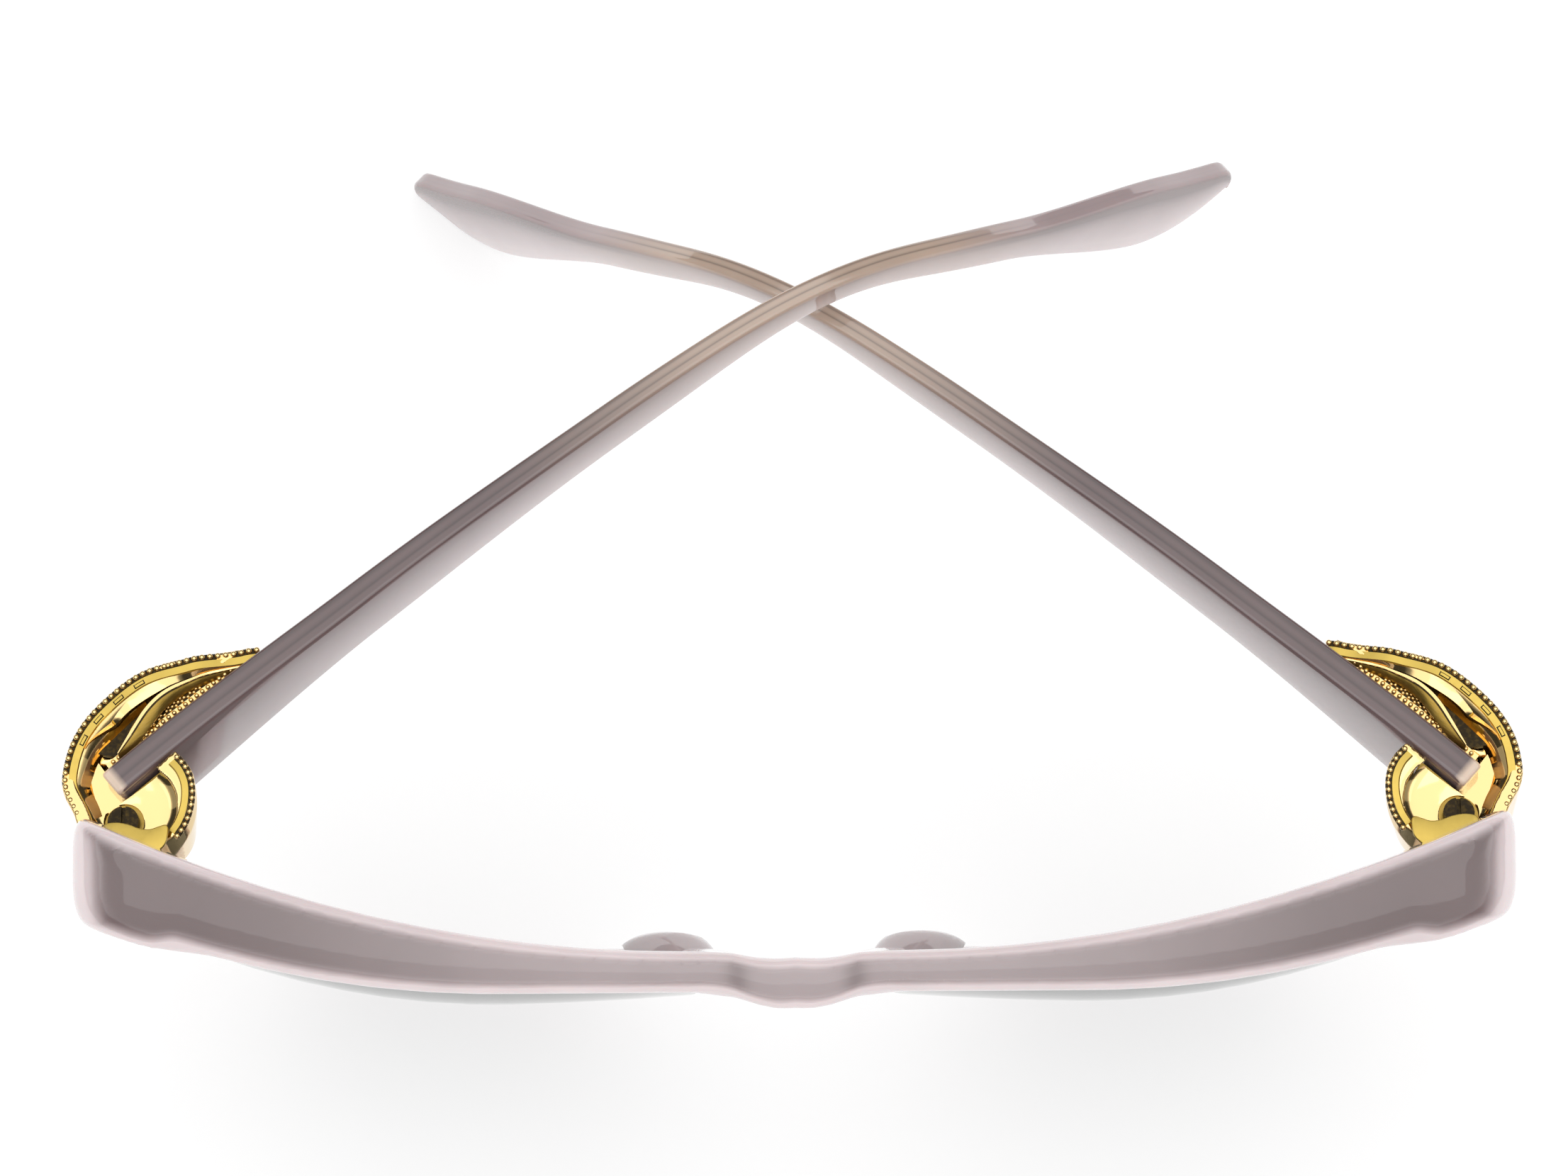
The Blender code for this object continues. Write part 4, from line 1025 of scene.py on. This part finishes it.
class SunglassesSettings(bpy.types.PropertyGroup):
    """Sizes and colours that a user would change."""
    bead_diameter: length("Bead diameter", "Diameter of the beads along the cuff's edges", 0.62)
    bead_pitch: length("Bead pitch", "Distance between neighbouring beads", 0.75)
    acetate_dark: color("Acetate, edge on", "Colour seen when looking into the sheet's edge", "5C4C4C")
    acetate_mid: color("Acetate", "Middle colour of the acetate", "7A6969")
    acetate_pale: color("Acetate, faces", "Colour of the sheet's faces", "CABDBE")
    acetate_beige: color("Acetate, warm", "Warm tone where light passes through the temple", "C4AF9C")
    acetate_roughness: number("Acetate roughness", "Blur of the polished acetate", 0.05, "FACTOR")
    gold_color: color("Gold", "Colour of the polished gold", "EBCC8E")
    band_color: color("Rubbed gold", "Colour of the rubbed band along the cuff's edge", "BCA252")
    satin_color: color("Brushed gold", "Colour of the brushed gold", "8E7228")
    # Also the colour of the painted shade and painted reflection in the groove, the bed beside the temple
    # and the screws
    patina_and_shade_color: color("Dark recesses", "Colour of the gold between the beads", "231904")
    gold_roughness: number("Gold roughness", "Blur of the polished gold", 0.05, "FACTOR")
    lens_color: color("Lens", "Colour of the tinted lens", "5F6260")
    pin_color: color("Pins", "Colour of the pins", "D8C79A")
    key_power: number("Overhead light", "Power of the overhead softbox in watts", 1.0)
    side_power: number("Side lights", "Power of each side softbox in watts", 0.4)
    ambient: number("Ambient light", "Strength of the surrounding light", 1.25)


class SUNGLASSES_OT_front(bpy.types.Operator):
    """Make the acetate front and the nose pads"""
    bl_idname = "sunglasses.front"
    bl_label = "Front and nose pads"

    def execute(self, context):
        make_front(context.scene.sunglasses)
        return {"FINISHED"}


class SUNGLASSES_OT_lenses(bpy.types.Operator):
    """Make both tinted lenses"""
    bl_idname = "sunglasses.lenses"
    bl_label = "Lenses"

    def execute(self, context):
        make_lenses()
        return {"FINISHED"}


class SUNGLASSES_OT_temples(bpy.types.Operator):
    """Make both temples"""
    bl_idname = "sunglasses.temples"
    bl_label = "Temples"

    def execute(self, context):
        make_temples(context.scene.sunglasses)
        return {"FINISHED"}


class SUNGLASSES_OT_cuff_shells(bpy.types.Operator):
    """Make the polished cuff and its inner leaf round each hinge"""
    bl_idname = "sunglasses.cuff_shells"
    bl_label = "Cuff shells"

    def execute(self, context):
        make_cuff_shells()
        return {"FINISHED"}


class SUNGLASSES_OT_plates(bpy.types.Operator):
    """Make the thin plates between cuffs and temples"""
    bl_idname = "sunglasses.plates"
    bl_label = "Plates"

    def execute(self, context):
        make_plates()
        return {"FINISHED"}


class SUNGLASSES_OT_cuff_trim(bpy.types.Operator):
    """Make the bead rows, rim bands, slopes, brushed petals and dishes on the cuffs"""
    bl_idname = "sunglasses.cuff_trim"
    bl_label = "Cuff trim"

    def execute(self, context):
        make_cuff_trim(context.scene.sunglasses)
        return {"FINISHED"}


class SUNGLASSES_OT_hinges(bpy.types.Operator):
    """Finish the hinges, screws and pins, and make the tab over each hinge"""
    bl_idname = "sunglasses.hinges"
    bl_label = "Hinges and pins"

    def execute(self, context):
        make_hinges()
        return {"FINISHED"}


class SUNGLASSES_OT_stage(bpy.types.Operator):
    """Set up the white table, the studio light and the camera"""
    bl_idname = "sunglasses.stage"
    bl_label = "Stage"

    def execute(self, context):
        make_stage(context.scene.sunglasses)
        return {"FINISHED"}


class SUNGLASSES_PT_panel(bpy.types.Panel):
    """Lists the steps that dress the sunglasses"""
    bl_label = "Sunglasses"
    bl_idname = "SUNGLASSES_PT_panel"
    bl_space_type = "VIEW_3D"
    bl_region_type = "UI"
    bl_category = "Sunglasses"

    def draw(self, context):
        for step in OPERATORS:
            self.layout.operator(step.bl_idname)
        for name in SunglassesSettings.__annotations__:
            self.layout.prop(context.scene.sunglasses, name)


OPERATORS = (
    SUNGLASSES_OT_front,
    SUNGLASSES_OT_lenses,
    SUNGLASSES_OT_temples,
    SUNGLASSES_OT_cuff_shells,
    SUNGLASSES_OT_plates,
    SUNGLASSES_OT_cuff_trim,
    SUNGLASSES_OT_hinges,
    SUNGLASSES_OT_stage,
)
CLASSES = (SunglassesSettings, *OPERATORS, SUNGLASSES_PT_panel)


def register():
    for item in CLASSES:
        bpy.utils.register_class(item)
    bpy.types.Scene.sunglasses = bpy.props.PointerProperty(type=SunglassesSettings)


def unregister():
    del bpy.types.Scene.sunglasses
    for item in reversed(CLASSES):
        bpy.utils.unregister_class(item)


def main():
    register()
    bpy.ops.sunglasses.front()
    bpy.ops.sunglasses.lenses()
    bpy.ops.sunglasses.temples()
    bpy.ops.sunglasses.cuff_shells()
    bpy.ops.sunglasses.plates()
    bpy.ops.sunglasses.cuff_trim()
    bpy.ops.sunglasses.hinges()
    bpy.ops.sunglasses.stage()


if __name__ == "__main__":
    main()
